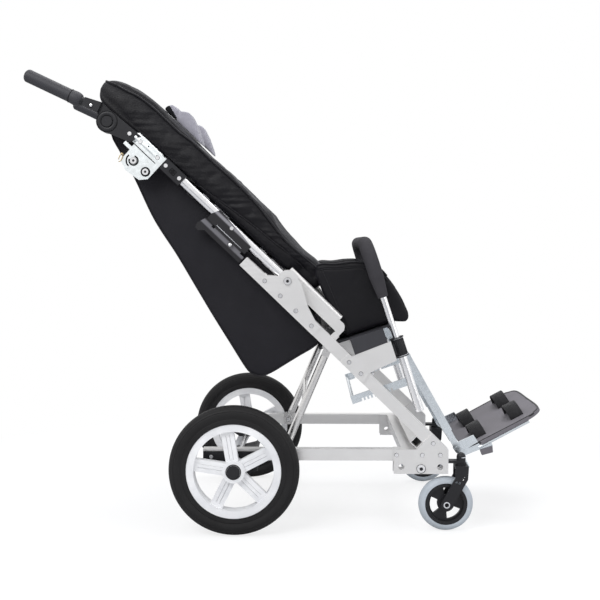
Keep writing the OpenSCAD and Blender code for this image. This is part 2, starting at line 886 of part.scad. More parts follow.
// Seat
module seat_side_plate_2d() {
  low = beam_lo;
  polygon([
    [collar_s * 0.74, low], [collar_s * 0.74, beam_hi], [collar_s * 0.772, beam_hi],
    [collar_s * 0.908, collar_up * 0.944], [collar_s * 1.047, collar_up * 0.632],
    [collar_s * 0.9615, beam_hi], [collar_s * 0.982, low]
  ]);
}

module seat_side_plates() {
  color(light_metal) placed() both() on_beam() slab(out_y, plate_t) seat_side_plate_2d();
}

module seat_pan() {
  rail_in_y = in_y - plate_t;
  color(black_plastic) placed() on_seat() {
    translate([-pan_back, -pan_w / 2, pan_lip - pan_t]) cube([pan_len, pan_w, pan_t]);
    both() translate([seat_rail_in, pan_w / 2 - pan_t, -seat_rail_low])
      cube([seat_rail_len, out_y - pan_w / 2 + pan_t, seat_rail_low + pan_lip]);
  }
}

module seat_cushion() {
  corner_shares = [[0.1, 0.2], [0.9, 0.2], [0.1, 0.8], [0.87, 0.8]];
  color(black_fabric) placed() on_seat() slab(-cushion_w / 2, cushion_w) hull() {
    for (at = scaled(corner_shares, cushion_len, cushion_t))
      translate([at[0] - cushion_back, pan_lip + run_clear + at[1]])
        circle(r = cushion_t * cushion_round_share, $fn = soft_fn);
  }
}

module side_panels() {
  panel_shares = [
    [-0.14, 0.935], [-0.09, 0.68], [-0.068, 0.336], [0.02, 0.0], [0.655, 0.0], [0.662, -0.021],
    [0.797, -0.058], [0.859, -0.011], [0.87, 0.058], [0.852, 0.232], [0.815, 0.44], [0.765, 0.55],
    [0.684, 0.69], [0.453, 0.88], [0.25, 0.955], [0.14, 0.958], [0.015, 1.0]
  ];
  color(black_fabric) placed() both() on_seat() slab(seat_w / 2, side_panel_t)
    translate([0, pan_lip + run_clear]) polygon(scaled(panel_shares, panel_len, panel_h));
}

module link_bars() {
  inner = in_y - plate_t - link_t - run_clear;
  color(light_metal) placed() both() on_beam() {
    slab(inner, link_t) bar_2d([link_s, link_up], [link_end, link_up], link_w);
    slab(inner, link_t)
      bar_2d([link_end + link_w * 0.3, link_up], [link_end + link_w * 0.3, beam_hi * 0.5], link_w * 0.5);
    slab(inner, plate_t + link_t + run_clear + tube_wall)
      translate([link_end, beam_hi + run_clear]) square([link_w * 0.6, link_w * 0.4]);
    translate([seat_tube_s, inner - seat_tube_d / 2 + tube_wall, seat_tube_up]) rotate([0, 90, 0])
      cylinder(h = seat_tube_end - seat_tube_s, d = seat_tube_d, $fn = round_fn);
  }
}

module collar_shape() {
  translate([0, bar_y, 0]) difference() {
    union() {
      cylinder(h = collar_h, d = collar_d, center = true, $fn = round_fn);
      for (z = [-1, 1]) translate([0, 0, z * (collar_h / 2 - flange_t / 2)])
        cylinder(h = flange_t, d = flange_d, center = true, $fn = round_fn);
      translate([-collar_lug_out, 0, -collar_lug_h / 2])
        cube([collar_lug_out - collar_lug_in, out_y - bar_y, collar_lug_h]);
    }
    cylinder(h = collar_h + 2 * over, d = bar_d + 2 * run_clear, center = true, $fn = round_fn);
  }
}

module bar_collars() {
  color(black_plastic) placed() both() on_bar() collar_shape();
}

module guide_tubes() {
  color(bright_metal) placed() both() on_bar()
    translate([0, bar_y, -collar_h / 2 - guide_len]) difference() {
      cylinder(h = guide_len, d = guide_d, $fn = round_fn);
      translate([0, 0, guide_cap]) cylinder(h = guide_len, d = bar_d + 2 * run_clear, $fn = round_fn);
    }
}

module leg_lugs() {
  y = leg_y + leg_bar_t / 2 + run_clear;
  reach = bar_y - flange_d / 2 - run_clear;
  color(zinc) placed() both() {
    slab(y, reach - y) bar_2d(leg_at, collar_at, lug_w);
    rod_y(leg_at[0], leg_at[1], leg_y - leg_bar_t / 2, leg_bar_t + clear, pin_d);
    rod_y(collar_at[0], collar_at[1], y + clear, bar_y - collar_d / 2 - run_clear - y - clear, pin_d);
  }
}

// Folding back
module back_tubes() {
  color(bright_metal) placed() both() on_back() difference() {
    union() {
      translate([-back_len, frame_y, 0]) rotate([0, 90, 0])
        cylinder(h = back_len, d = back_tube_d, $fn = round_fn);
      translate([0, frame_y, 0]) rotate([90, 0, 0])
        cylinder(h = beam_w - 2 * run_clear, d = back_eye_d, center = true, $fn = round_fn);
    }
    translate([-back_len - over, frame_y, 0]) rotate([0, 90, 0])
      cylinder(h = back_len - back_tube_d + over, d = back_tube_d - 2 * tube_wall, $fn = round_fn);
    rotate([90, 0, 0]) translate([0, 0, -out_y - over])
      cylinder(h = beam_w + 2 * over, d = bolt_d + 2 * run_clear, $fn = round_fn);
  }
}

module back_cross_tube() {
  len = 2 * (frame_y - clamp_w / 2);
  color(black_plastic) placed() on_back()
    rod_y(back_cross_s, pad_rear_up - back_cross_d / 2 - run_clear, -len / 2, len, back_cross_d);
}

module knuckle_socket() {
  far = [knuckle_reach - socket_len * 0.1, knuckle_drop * 0.9];
  w = knuckle_d * 0.47;
  difference() {
    union() {
      for (y = [-knuckle_w / 2, knuckle_w / 2 - cheek_t]) slab(y, cheek_t) {
        circle(d = knuckle_d, $fn = round_fn);
        polygon([
          [0, -knuckle_d * 0.5], [far[0], far[1] - w * 0.67], [far[0] + w * 0.4, far[1] + w / 2],
          [knuckle_d * 0.1, knuckle_d * 0.49]
        ]);
      }
      slab(-knuckle_w / 2, knuckle_w) polygon([
        [knuckle_d * 0.62, -knuckle_d * 0.2], [far[0], far[1] - w * 0.67], [far[0] + w * 0.4, far[1] + w / 2],
        [knuckle_d * 0.62, knuckle_d * 0.36]
      ]);
    }
    translate([knuckle_reach, 0, knuckle_drop]) rotate([0, 90, 0])
      cylinder(h = socket_len * 4, d = back_tube_d, $fn = round_fn);
    translate([0, knuckle_w / 2 + over, 0]) rotate([90, 0, 0])
      cylinder(h = cheek_t + 2 * over, d = button_d + 2 * run_clear, $fn = round_fn);
  }
  translate([0, knuckle_w / 2 - button_travel - clear, 0]) rotate([90, 0, 0])
    cylinder(h = knuckle_w - button_travel - clear, d = knuckle_pin_d, $fn = round_fn);
}

module knuckles() {
  color(black_plastic) placed() both() on_back()
    translate([knuckle_s, frame_y, -knuckle_drop]) knuckle_socket();
}

module bracket_plate_2d() {
  hang_shares = [
    [0.09, 0.19], [0.09, -0.36], [-0.14, -0.36], [-0.14, -0.5], [0.10, -0.5], [0.11, -1.03], [0.40, -1.18],
    [0.84, -1.1], [1.0, -0.85], [1.0, 0.19]
  ];
  difference() {
    polygon(scaled(hang_shares, sleeve_len, bracket_hang));
    translate([sleeve_len * 0.38, -bracket_hang * 0.71]) circle(d = rivet_d, $fn = round_fn);
    translate([sleeve_len * 0.82, -bracket_hang * 0.7]) circle(d = rivet_d, $fn = round_fn);
  }
}

module bracket_plates() {
  y = frame_y + back_tube_d / 2;
  color(zinc) placed() both() on_back() slab(y, plate_t * 0.75)
    translate([-back_len, 0]) bracket_plate_2d();
}

module clamp_blocks() {
  color(black_plastic) placed() both() on_back() difference() {
    translate([clamp_s, frame_y - clamp_w / 2, -clamp_h / 2]) cube([clamp_len, clamp_w, clamp_h]);
    translate([clamp_s - over, frame_y, 0]) rotate([0, 90, 0])
      cylinder(h = clamp_len + 2 * over, d = back_tube_d, $fn = round_fn);
  }
}

module latch_housings() {
  case_shares = [
    [0, -0.35], [0.0, -0.95], [0.2, -1.0], [1.0, -1.0], [1.0, -0.02], [0.72, 0.22], [0.07, 0.48]
  ];
  color(smoke_plastic) placed() both() on_back() difference() {
    slab(frame_y - latch_w / 2, latch_w) translate([housing_s, 0])
      polygon(scaled(case_shares, housing_len, lever_gap - clear));
    translate([housing_s - over, frame_y, 0]) rotate([0, 90, 0])
      cylinder(h = housing_len + 2 * over, d = back_tube_d, $fn = round_fn);
  }
}

module latch_lever_shape() {
  ear_shares = [
    [0.05, 0], [-0.16, 0], [-0.23, -0.95], [-0.185, -1.4], [-0.1, -1.42], [0.0, -0.95], [0.05, -0.4]
  ];
  on_back() slab(frame_y - lever_w / 2, lever_w) {
    translate([lever_s, lever_up]) square([lever_len, lever_h]);
    translate([lever_s + lever_len * 0.12, lever_up]) square([lever_len * 0.76, -lever_gap - lever_up]);
    translate([lever_s, -lever_gap]) polygon(scaled(ear_shares, lever_len, lever_gap));
  }
}

module latch_lever_R() {
  color(smoke_plastic) placed() right() latch_lever_shape();
}

module latch_lever_L() {
  color(smoke_plastic) placed() latch_lever_shape();
}

module back_pad() {
  narrow_shares = [[0, 0], [0.9, 0], [1, 0.12], [1, 0.76], [0.72, 0.79], [0.3, 0.98], [0, 1]];
  wide_shares = [
    [-0.79, 1], [-0.89, 0.9], [-0.93, 0.8], [-0.968, 0.68], [-1, 0.43], [-0.995, 0.2], [-0.98, 0.06],
    [-0.94, 0]
  ];
  low_len = pad_bottom_s - pad_split_s;
  color(black_fabric) placed() on_back() {
    slab(-pad_wide / 2, pad_wide) translate([0, pad_rear_up]) polygon(concat(
      [[pad_split_s, 0], [pad_split_s, back_pad_t]], scaled(wide_shares, -pad_top_s, back_pad_t)
    ));
    slab(-pad_narrow / 2, pad_narrow) translate([pad_split_s, pad_rear_up])
      polygon(scaled(narrow_shares, low_len, back_pad_t));
  }
}

module headrest_pads() {
  wedge_shares = [
    [0, 0], [1, 0], [0.76, 0.5], [0.55, 0.81], [0.39, 1], [0.25, 0.6], [0.06, 0.58], [0, 0.28]
  ];
  color(grey_fabric) placed() both() on_back() slab(pad_wide / 2 - headrest_in - headrest_w, headrest_w)
    translate([pad_top_s + headrest_drop, pad_front_up + clear])
      polygon(scaled(wedge_shares, headrest_len, headrest_h));
}

module rear_bag() {
  bag_shares = [
    [-1.0, 0.02], [-1.02, -0.12], [-0.92, -0.2], [-0.81, -0.285], [-0.62, -0.465], [-0.44, -0.575],
    [-0.14, -0.785], [0.12, -0.955], [0.17, -0.97], [0.215, -0.9], [0.25, -0.66], [0.27, -0.47],
    [0.295, -0.28], [0.295, -0.17], [0.2, 0.02]
  ];
  outline = scaled(bag_shares, bag_len, bag_depth);
  bag_up = -back_tube_d / 2 - bag_wall;
  color(black_fabric) placed() on_back() {
    difference() {
      slab(-bag_w / 2, bag_w) intersection() {
        translate([0, bag_up]) polygon(outline);
        translate([-big / 2, bag_up - big / 2]) square([big, big / 2]);
      }
      slab(-bag_w / 2 + bag_wall, bag_w - 2 * bag_wall)
        translate([0, bag_up]) polygon(inset(outline, bag_wall));
    }
    both() difference() {
      for (end = [-back_len, clamp_s + clamp_len, housing_s + housing_len])
        translate([end + bag_tab_lead, bag_w / 2 - over, bag_up - bag_wall])
          cube([bag_tab, frame_y - bag_w / 2 + over, bag_wall * 3]);
      translate([-bag_len, frame_y, 0]) rotate([0, 90, 0])
        cylinder(h = 2 * bag_len, d = back_tube_d, $fn = round_fn);
    }
  }
}

module back_fasteners() {
  y = frame_y + back_tube_d / 2 + plate_t * 0.75;
  color(bright_metal) placed() both() on_back() {
    for (share = [0.17, 0.8]) rivet_at(-back_len + sleeve_len * share, 0, y);
    for (share = [0.38, 0.82]) translate([-back_len + sleeve_len * share, y, -bracket_hang * 0.705])
      rotate([-90, 0, 0]) cylinder(h = rivet_head * 2, d = rivet_d * 1.6, $fn = round_fn);
    for (share = [0.15, 0.85]) rivet_at(clamp_s + clamp_len * share, 0, frame_y + clamp_w / 2);
    rivet_at(housing_s + housing_len * 0.48, 0, frame_y + latch_w / 2);
    rivet_at(-back_len - knuckle_d * 0.32, -knuckle_drop * 0.2, frame_y + knuckle_w / 2);
  }
}

// Push handles
module handle_arm_shape() {
  on_handle() difference() {
    union() {
      slab(-arm_plate_t / 2, arm_plate_t) {
        circle(d = knuckle_d - 2 * clear, $fn = round_fn);
        polygon([
          [0, -knuckle_d * 0.48], [arm_start + over, -handle_rise - arm_root_h * 0.6],
          [arm_start + over, -handle_rise + arm_root_h * 0.32], [0, knuckle_d * 0.3]
        ]);
      }
      slab(-knuckle_w / 2, knuckle_w) polygon([
        [arm_start, -handle_rise - arm_root_h * 0.6], [arm_end, -handle_rise - arm_tip_h * 0.5],
        [arm_end, -handle_rise + arm_tip_h * 0.4], [arm_start, -handle_rise + arm_root_h * 0.32]
      ]);
      translate([arm_end - over, 0, -handle_rise]) rotate([0, 90, 0])
        cylinder(h = neck_end - arm_end + over, d1 = neck_d, d2 = grip_d, $fn = round_fn);
      translate([neck_end, 0, -handle_rise]) rotate([0, 90, 0])
        cylinder(h = grip_len * 0.85, d = neck_d * 0.9, $fn = round_fn);
    }
    rotate([90, 0, 0])
      cylinder(h = knuckle_w, d = knuckle_pin_d + 2 * run_clear, center = true, $fn = round_fn);
    translate([0, arm_plate_t / 2 + over, 0]) rotate([90, 0, 0])
      cylinder(h = button_travel + over + clear, d = button_d + over, $fn = round_fn);
  }
}

module grip_shape() {
  core = neck_d * 0.9;
  on_handle() translate([neck_end + run_clear, 0, -handle_rise]) rotate([0, 90, 0]) difference() {
    union() {
      cylinder(h = grip_len - grip_d / 3, d = grip_d, $fn = round_fn);
      intersection() {
        translate([0, 0, grip_len - grip_d / 3]) scale([1, 1, 2 / 3]) sphere(d = grip_d, $fn = round_fn);
        cylinder(h = grip_len, d = grip_d, $fn = round_fn);
      }
    }
    translate([0, 0, -over]) cylinder(h = grip_len * 0.85 + over, d = core, $fn = round_fn);
  }
}

module button_shape() {
  on_handle() difference() {
    translate([0, knuckle_w / 2 + button_travel - clear, 0]) rotate([90, 0, 0])
      cylinder(h = cheek_t + button_travel - 2 * clear, d = button_d, $fn = round_fn);
    rotate([90, 0, 0])
      cylinder(h = knuckle_w * 1.02, d = knuckle_pin_d + 2 * run_clear, center = true, $fn = round_fn);
  }
}

module handle_arm_R() {
  color(black_plastic) placed() right() handle_arm_shape();
}

module handle_arm_L() {
  color(black_plastic) placed() handle_arm_shape();
}

module grip_R() {
  color(black_plastic) placed() right() grip_shape();
}

module grip_L() {
  color(black_plastic) placed() grip_shape();
}

module button_R() {
  color(black_plastic) placed() right() button_shape();
}

module button_L() {
  color(black_plastic) placed() button_shape();
}

// Safety bar
module bar_path(d, low) {
  for (side = [-1, 1]) translate([0, side * bar_y, low])
    cylinder(h = bar_rise - bar_bend - low, d = d, $fn = round_fn);
  for (side = [0, 1]) mirror([0, side, 0]) translate([0, bar_y - bar_bend, bar_rise - bar_bend])
    rotate([90, 0, 90]) rotate_extrude(angle = 90, $fn = round_fn * 2)
      translate([bar_bend, 0]) circle(d = d, $fn = round_fn);
  translate([0, -bar_y + bar_bend, bar_rise]) rotate([-90, 0, 0])
    cylinder(h = bar_w - 2 * bar_bend, d = d, $fn = round_fn);
}

module safety_bar() {
  color(bright_metal) placed() on_bar() bar_path(bar_d, -bar_insert);
}

module safety_foam() {
  color(black_plastic) placed() on_bar() difference() {
    union() {
      bar_path(foam_d, foam_end + foam_taper);
      for (side = [-1, 1]) translate([0, side * bar_y, foam_end])
        cylinder(h = foam_taper, d1 = foam_tip_d, d2 = foam_d, $fn = round_fn);
    }
    bar_path(bar_d, foam_end - over);
  }
}

// Legrest
module leg_bars() {
  slot_y = leg_y - lower_leg_t / 2 - run_clear;
  color(zinc) placed() both() on_leg() difference() {
    union() {
      translate([0, leg_y - leg_bar_t / 2, -leg_bar_w / 2]) cube([leg_split, leg_bar_t, leg_bar_w]);
      rod_y(0, 0, leg_y - leg_bar_t / 2, leg_bar_t, leg_bar_w);
      rod_y(comb_along, 0, leg_y, comb_y - leg_y + comb_t / 2 + run_clear, pin_d * 0.9);
    }
    rod_y(0, 0, leg_y - leg_bar_t, leg_bar_t * 2, pin_d + 2 * run_clear);
    translate([leg_split - lower_leg_in - over, slot_y, -lower_leg_w / 2 - run_clear])
      cube([lower_leg_in + 2 * over, lower_leg_t + 2 * run_clear, lower_leg_w + 2 * run_clear]);
    translate([leg_groove_a, leg_y + leg_bar_t / 2 - leg_groove_t, -leg_groove_w / 2])
      cube([leg_groove_b - leg_groove_a, leg_groove_t + over, leg_groove_w]);
  }
}

module leg_fork() {
  start = leg_split - lower_leg_held;
  color(zinc) placed() on_leg() {
    both() {
      translate([start, leg_y - lower_leg_t / 2, -lower_leg_w / 2])
        cube([leg_len - start, lower_leg_t, lower_leg_w]);
      rod_y(leg_len, 0, leg_y - leg_bar_t / 2, leg_bar_t, foot_eye_d);
    }
    rod_y(leg_len, 0, -leg_y, 2 * leg_y, foot_rod_d);
  }
}

module comb_side() {
  difference() {
    union() {
      translate([-comb_len, comb_y - comb_t / 2, -comb_h / 2]) cube([comb_len, comb_t, comb_h]);
      rod_y(0, 0, comb_y - comb_t / 2, comb_t, comb_h);
    }
    rod_y(0, 0, comb_y - comb_t, comb_t * 2, pin_d * 0.9 + 2 * run_clear);
    for (i = [0:comb_tooth_count - 1])
      translate([-comb_tooth_from - i * comb_tooth, comb_y - comb_t, -comb_h / 2 - over])
        cube([comb_notch, comb_t * 2, comb_notch_depth + over]);
  }
}

module comb_frame() {
  color(zinc) placed() on_comb() {
    both() comb_side();
    rod_y(-comb_len + comb_rod_d / 2, 0, -comb_y, 2 * comb_y, comb_rod_d);
  }
}

module foot_outline() {
  half = foot_w / 2;
  inner = half - foot_bracket_in - foot_bracket_t / 8;
  far = foot_ahead + foot_len - foot_round;
  translate([foot_ahead, -inner]) square([foot_step - foot_ahead + over, 2 * inner]);
  hull() {
    for (side = [-1, 1]) translate([far, side * (half - foot_round)]) circle(r = foot_round, $fn = soft_fn);
    translate([foot_step, -half]) square([foot_t, foot_w]);
  }
}

module footplate() {
  stop_shares = [[0.59, -0.845], [0.975, -0.998], [0.9, -1.36], [0.565, -1.2]];
  stop_y = foot_w / 2 - foot_bracket_in + foot_bracket_t / 2 - foot_stop_w / 2;
  color(mat_grey) placed() on_foot() {
    translate([0, 0, foot_lift]) linear_extrude(foot_t) foot_outline();
    both() slab(stop_y, foot_stop_w) polygon(scaled(stop_shares, foot_bracket_len, foot_bracket_drop));
  }
}

module foot_bracket_2d() {
  ledge = foot_lift - clear;
  head_shares = [[-0.103, -0.16], [-0.09, 0.133], [0.077, 0.24], [0.205, 0.24], [0.628, 0.187]];
  tail_shares = [[1, -1], [0.564, -0.827], [0.103, -0.72]];
  circle(d = foot_eye_d, $fn = round_fn);
  polygon(concat(
    scaled(head_shares, foot_bracket_len, foot_bracket_drop),
    [[foot_bracket_len * 0.66, ledge], [foot_bracket_len, ledge]],
    scaled(tail_shares, foot_bracket_len, foot_bracket_drop)
  ));
}

module foot_frame() {
  bolt_shares = [[0.205, -0.4], [0.41, -0.56]];
  y = foot_w / 2 - foot_bracket_in;
  mid = y + foot_bracket_t / 2;
  z = foot_lift - wire_d / 2 - run_clear;
  start = foot_bracket_len * wire_start_share;
  far = foot_ahead + foot_len - foot_round;
  color(zinc) placed() on_foot() difference() {
    union() {
      both() {
        slab(y, foot_bracket_t) foot_bracket_2d();
        translate([start, mid, z]) rotate([0, 90, 0])
          cylinder(h = far + wire_d / 2 - start, d = wire_d, $fn = round_fn);
        translate([foot_hook_at, mid, -foot_hook_len])
          cylinder(h = foot_hook_len - foot_rod_d, d = foot_hook_d, $fn = round_fn);
        for (at = scaled(bolt_shares, foot_bracket_len, foot_bracket_drop))
          rod_y(at[0], at[1], y + foot_bracket_t, rivet_head, rivet_d * 0.8);
      }
      rod_y(far, z, -mid, 2 * mid, wire_d * 0.9);
    }
    rod_y(0, 0, -foot_w, 2 * foot_w, foot_rod_d + 2 * run_clear);
  }
}

module strap_shape() {
  difference() {
    rotate([90, 0, 90]) linear_extrude(strap_w) intersection() {
      translate([0, -strap_h * 0.4]) circle(d = strap_len, $fn = soft_fn);
      translate([-strap_len, 0]) square([2 * strap_len, strap_h]);
    }
    translate([-over, 0, 0]) rotate([90, 0, 90]) linear_extrude(strap_w + 2 * over) intersection() {
      translate([0, -strap_h * 0.4]) circle(d = strap_len - 2 * strap_t, $fn = soft_fn);
      translate([-strap_len, -over]) square([2 * strap_len, strap_h]);
    }
  }
}

module foot_straps() {
  z = foot_lift + foot_t + run_clear;
  color(black_fabric) placed() on_foot() for (side = [-1, 1], share = [0.154, 0.644])
    translate([foot_ahead + foot_len * share, side * foot_w * 0.242, z]) strap_shape();
}

beams();
rails();
hinge_plates();
front_plates();
cross_tube_front();
cross_bar_flat();
struts();
strut_cross_tube();
rear_axle();
axle_brackets();
brake_pedal();
caster_arms();
fork_R();
fork_L();
caster_tyre_R();
caster_tyre_L();
caster_rim_R();
caster_rim_L();
tyre_R();
tyre_L();
rim_R();
rim_L();
hub_cap_R();
hub_cap_L();
frame_rivets();
frame_bolts();
seat_side_plates();
seat_pan();
seat_cushion();
side_panels();
link_bars();
bar_collars();
guide_tubes();
leg_lugs();
back_tubes();
back_cross_tube();
knuckles();
bracket_plates();
clamp_blocks();
latch_housings();
latch_lever_R();
latch_lever_L();
back_pad();
headrest_pads();
rear_bag();
back_fasteners();
handle_arm_R();
handle_arm_L();
grip_R();
grip_L();
button_R();
button_L();
safety_bar();
safety_foam();
leg_bars();
leg_fork();
comb_frame();
footplate();
foot_frame();
foot_straps();
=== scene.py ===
import math

import bmesh
import bpy
import numpy as np
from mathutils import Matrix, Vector
from mathutils import noise as noise3

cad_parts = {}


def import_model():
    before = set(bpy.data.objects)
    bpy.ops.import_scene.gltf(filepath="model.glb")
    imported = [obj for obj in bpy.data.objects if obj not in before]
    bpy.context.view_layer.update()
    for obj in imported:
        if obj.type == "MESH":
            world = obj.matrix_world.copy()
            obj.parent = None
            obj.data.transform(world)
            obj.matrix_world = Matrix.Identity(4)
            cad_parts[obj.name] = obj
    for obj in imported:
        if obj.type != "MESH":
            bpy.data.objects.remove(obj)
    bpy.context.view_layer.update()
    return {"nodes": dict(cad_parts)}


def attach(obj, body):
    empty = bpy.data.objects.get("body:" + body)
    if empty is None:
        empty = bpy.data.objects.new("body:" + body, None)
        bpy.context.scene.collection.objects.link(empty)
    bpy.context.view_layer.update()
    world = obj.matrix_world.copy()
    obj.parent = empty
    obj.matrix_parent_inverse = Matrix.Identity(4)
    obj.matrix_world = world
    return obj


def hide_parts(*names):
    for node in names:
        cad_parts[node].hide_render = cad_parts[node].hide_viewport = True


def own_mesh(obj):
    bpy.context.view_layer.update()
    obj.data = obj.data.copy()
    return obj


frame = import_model()
NODES = frame["nodes"]
scene = bpy.context.scene

# The middle of the part, ahead of the rear axle, in millimetres
MID_X = 125.5807
# The pivot bolts of the back, ahead of the rear axle and above the floor
PIVOT = (122.0, 581.0)
BACK_ANGLE = math.radians(43.5)
BEAM_ANGLE = math.radians(44.0)
SEAT_TILT = math.radians(18.6)
FOOT_TILT = math.radians(28.5)


def world(x, y, z):
    """A point in millimetres from the rear axle, as metres in the row frame."""
    return Vector(((x - MID_X) / 1000, y / 1000, z / 1000))


def past_pivot(angle, s, n, y):
    """A point along and across a member that runs down through the pivot."""
    c, k = math.cos(angle), math.sin(angle)
    return world(PIVOT[0] + s * c + n * k, y, PIVOT[1] - s * k + n * c)


def back(s, n, y):
    """A point along and across the back tube."""
    return past_pivot(BACK_ANGLE, s, n, y)


def up_slope(origin, angle, u, h, y):
    c, k = math.cos(angle), math.sin(angle)
    return origin + Vector(((u * c - h * k) / 1000, y / 1000, (u * k + h * c) / 1000))


SEAT = past_pivot(BEAM_ANGLE, 209.0, -17.0, 0.0)
FOOT = Vector(((525.164 - MID_X) / 1000, 0.0, 0.179804))


def seat(x, z, y):
    """A point along and above the seat pan."""
    return up_slope(SEAT, SEAT_TILT, x, z, y)


def foot(u, h, y):
    """A point along and above the footplate's rod."""
    return up_slope(FOOT, FOOT_TILT, u, h, y)


# Materials
def new_material(name, spec=None):
    m = bpy.data.materials.new(name)
    m.use_nodes = True
    t = m.node_tree
    t.nodes.clear()
    out = t.nodes.new("ShaderNodeOutputMaterial")
    b = t.nodes.new("ShaderNodeBsdfPrincipled")
    t.links.new(b.outputs[0], out.inputs[0])
    if spec is not None:
        b.inputs["Specular IOR Level"].default_value = spec
    return m, t, b


def coords(t, scale=(1, 1, 1), rotation=(0, 0, 0)):
    c = t.nodes.new("ShaderNodeTexCoord")
    m = t.nodes.new("ShaderNodeMapping")
    m.inputs["Scale"].default_value = scale
    m.inputs["Rotation"].default_value = rotation
    t.links.new(c.outputs["Object"], m.inputs["Vector"])
    return m.outputs[0]


def parts_of(t, vector):
    """The x, y and z sockets of a vector."""
    p = t.nodes.new("ShaderNodeSeparateXYZ")
    t.links.new(vector, p.inputs[0])
    return p.outputs


def noise(t, vector, scale, detail=3.0, rough=0.5):
    n = t.nodes.new("ShaderNodeTexNoise")
    n.inputs["Scale"].default_value = scale
    n.inputs["Detail"].default_value = detail
    n.inputs["Roughness"].default_value = rough
    t.links.new(vector, n.inputs["Vector"])
    return n.outputs["Fac"]


def ramp(t, fac, stops):
    r = t.nodes.new("ShaderNodeValToRGB")
    e = r.color_ramp.elements
    e[0].position, e[0].color = stops[0][0], (*stops[0][1], 1)
    e[1].position, e[1].color = stops[-1][0], (*stops[-1][1], 1)
    for pos, col in stops[1:-1]:
        e.new(pos).color = (*col, 1)
    t.links.new(fac, r.inputs[0])
    return r.outputs[0]


def span(t, fac, low, high, a=0.0, b=1.0):
    """Maps a to low and b to high."""
    m = t.nodes.new("ShaderNodeMapRange")
    m.inputs["From Min"].default_value = a
    m.inputs["From Max"].default_value = b
    m.inputs["To Min"].default_value = low
    m.inputs["To Max"].default_value = high
    t.links.new(fac, m.inputs["Value"])
    return m.outputs[0]


def math_node(t, op, a, b=0):
    m = t.nodes.new("ShaderNodeMath")
    m.operation = op
    for i, v in enumerate((a, b)):
        if isinstance(v, (int, float)):
            m.inputs[i].default_value = v
        else:
            t.links.new(v, m.inputs[i])
    return m.outputs[0]


# The two heights of a noise between which its shade changes
NOISE_LOW, NOISE_HIGH = 0.3, 0.7


def dye(t, b, fac, colour, low, high, top=NOISE_HIGH):
    """A base colour that wanders between two shades."""
    stops = [(at, tuple(min(1.0, v * k) for v in colour)) for at, k in ((NOISE_LOW, low), (top, high))]
    t.links.new(ramp(t, fac, stops), b.inputs["Base Color"])


def gloss(t, b, fac, low, high, a=NOISE_LOW, c=NOISE_HIGH):
    """A roughness that wanders between two values."""
    t.links.new(span(t, fac, low, high, a, c), b.inputs["Roughness"])


def bump(t, b, height, strength, distance):
    n = t.nodes.new("ShaderNodeBump")
    n.inputs["Strength"].default_value = strength
    n.inputs["Distance"].default_value = distance
    t.links.new(height, n.inputs["Height"])
    t.links.new(n.outputs[0], b.inputs["Normal"])


def metal(name, colour, rough, grain=0.25, vary=0.04, metallic=1.0, long=9.0, across=420.0):
    """Metal drawn along x: its grain is long there and fine across."""
    m, t, b = new_material(name)
    fine = noise(t, coords(t, (long, across, across)), 1.0, 2.0, 0.6)
    broad = noise(t, coords(t), 9.0, 3.0, 0.5)
    dye(t, b, broad, colour, 1 - vary, 1 + vary)
    gloss(t, b, fine, rough - 0.07, rough + 0.09)
    bump(t, b, fine, grain, 0.00012)
    b.inputs["Metallic"].default_value = metallic
    return m


def plastic(name, colour, rough, grain=0.35, size=900.0, spec=0.5):
    m, t, b = new_material(name, spec)
    v = coords(t)
    broad = noise(t, v, 14.0, 4.0, 0.55)
    dye(t, b, broad, colour, 0.88, 1.14)
    gloss(t, b, broad, rough - 0.05, rough + 0.07)
    bump(t, b, noise(t, v, size, 2.0, 0.6), grain, 0.00015)
    return m


# How far the smoked look reaches across the back tube, and how soft its bands of painted highlight end, in millimetres
SMOKE_LOW, SMOKE_HIGH, SMOKE_SOFT = -46.0, 20.0, 3.0


def smoked(name, dark, bands, rough):
    """Smoked plastic with lighter bands painted in: painted light for the lit tubes behind, seen through it with their
    highlights.

    Each band is (low, high, colour), in millimetres across the back tube."""
    m, t, b = new_material(name, 0.35)
    v = coords(t)
    p = parts_of(t, v)
    x = math_node(t, "SUBTRACT", p[0], (PIVOT[0] - MID_X) / 1000)
    z = math_node(t, "SUBTRACT", p[2], PIVOT[1] / 1000)
    n = math_node(t, "ADD", math_node(t, "MULTIPLY", x, math.sin(BACK_ANGLE)),
                  math_node(t, "MULTIPLY", z, math.cos(BACK_ANGLE)))
    stops = [(0.0, dark)]
    for low, high, colour in bands:
        for at, c in ((low - SMOKE_SOFT, dark), (low, colour), (high, colour), (high + SMOKE_SOFT, dark)):
            stops.append(((at - SMOKE_LOW) / (SMOKE_HIGH - SMOKE_LOW), c))
    stops.append((1.0, dark))
    across = span(t, n, 0.0, 1.0, SMOKE_LOW / 1000, SMOKE_HIGH / 1000)
    t.links.new(ramp(t, across, stops), b.inputs["Base Color"])
    gloss(t, b, noise(t, v, 14.0, 4.0, 0.55), rough, rough + 0.1)
    b.inputs["Coat Weight"].default_value = 0.2
    return m


WHEEL_RADIUS = 0.150
TREAD_NOTCHES = 96.0
# Where the tyre's rings lie, as a share of its radius, and how deep they are
TYRE_RINGS = [(0.70, 1.0), (0.795, 1.0), (0.803, 0.0), (0.811, 1.0), (0.905, 1.0), (0.914, 0.0), (0.923, 1.0),
              (0.950, 0.4), (0.956, 1.0), (1.0, 1.0)]


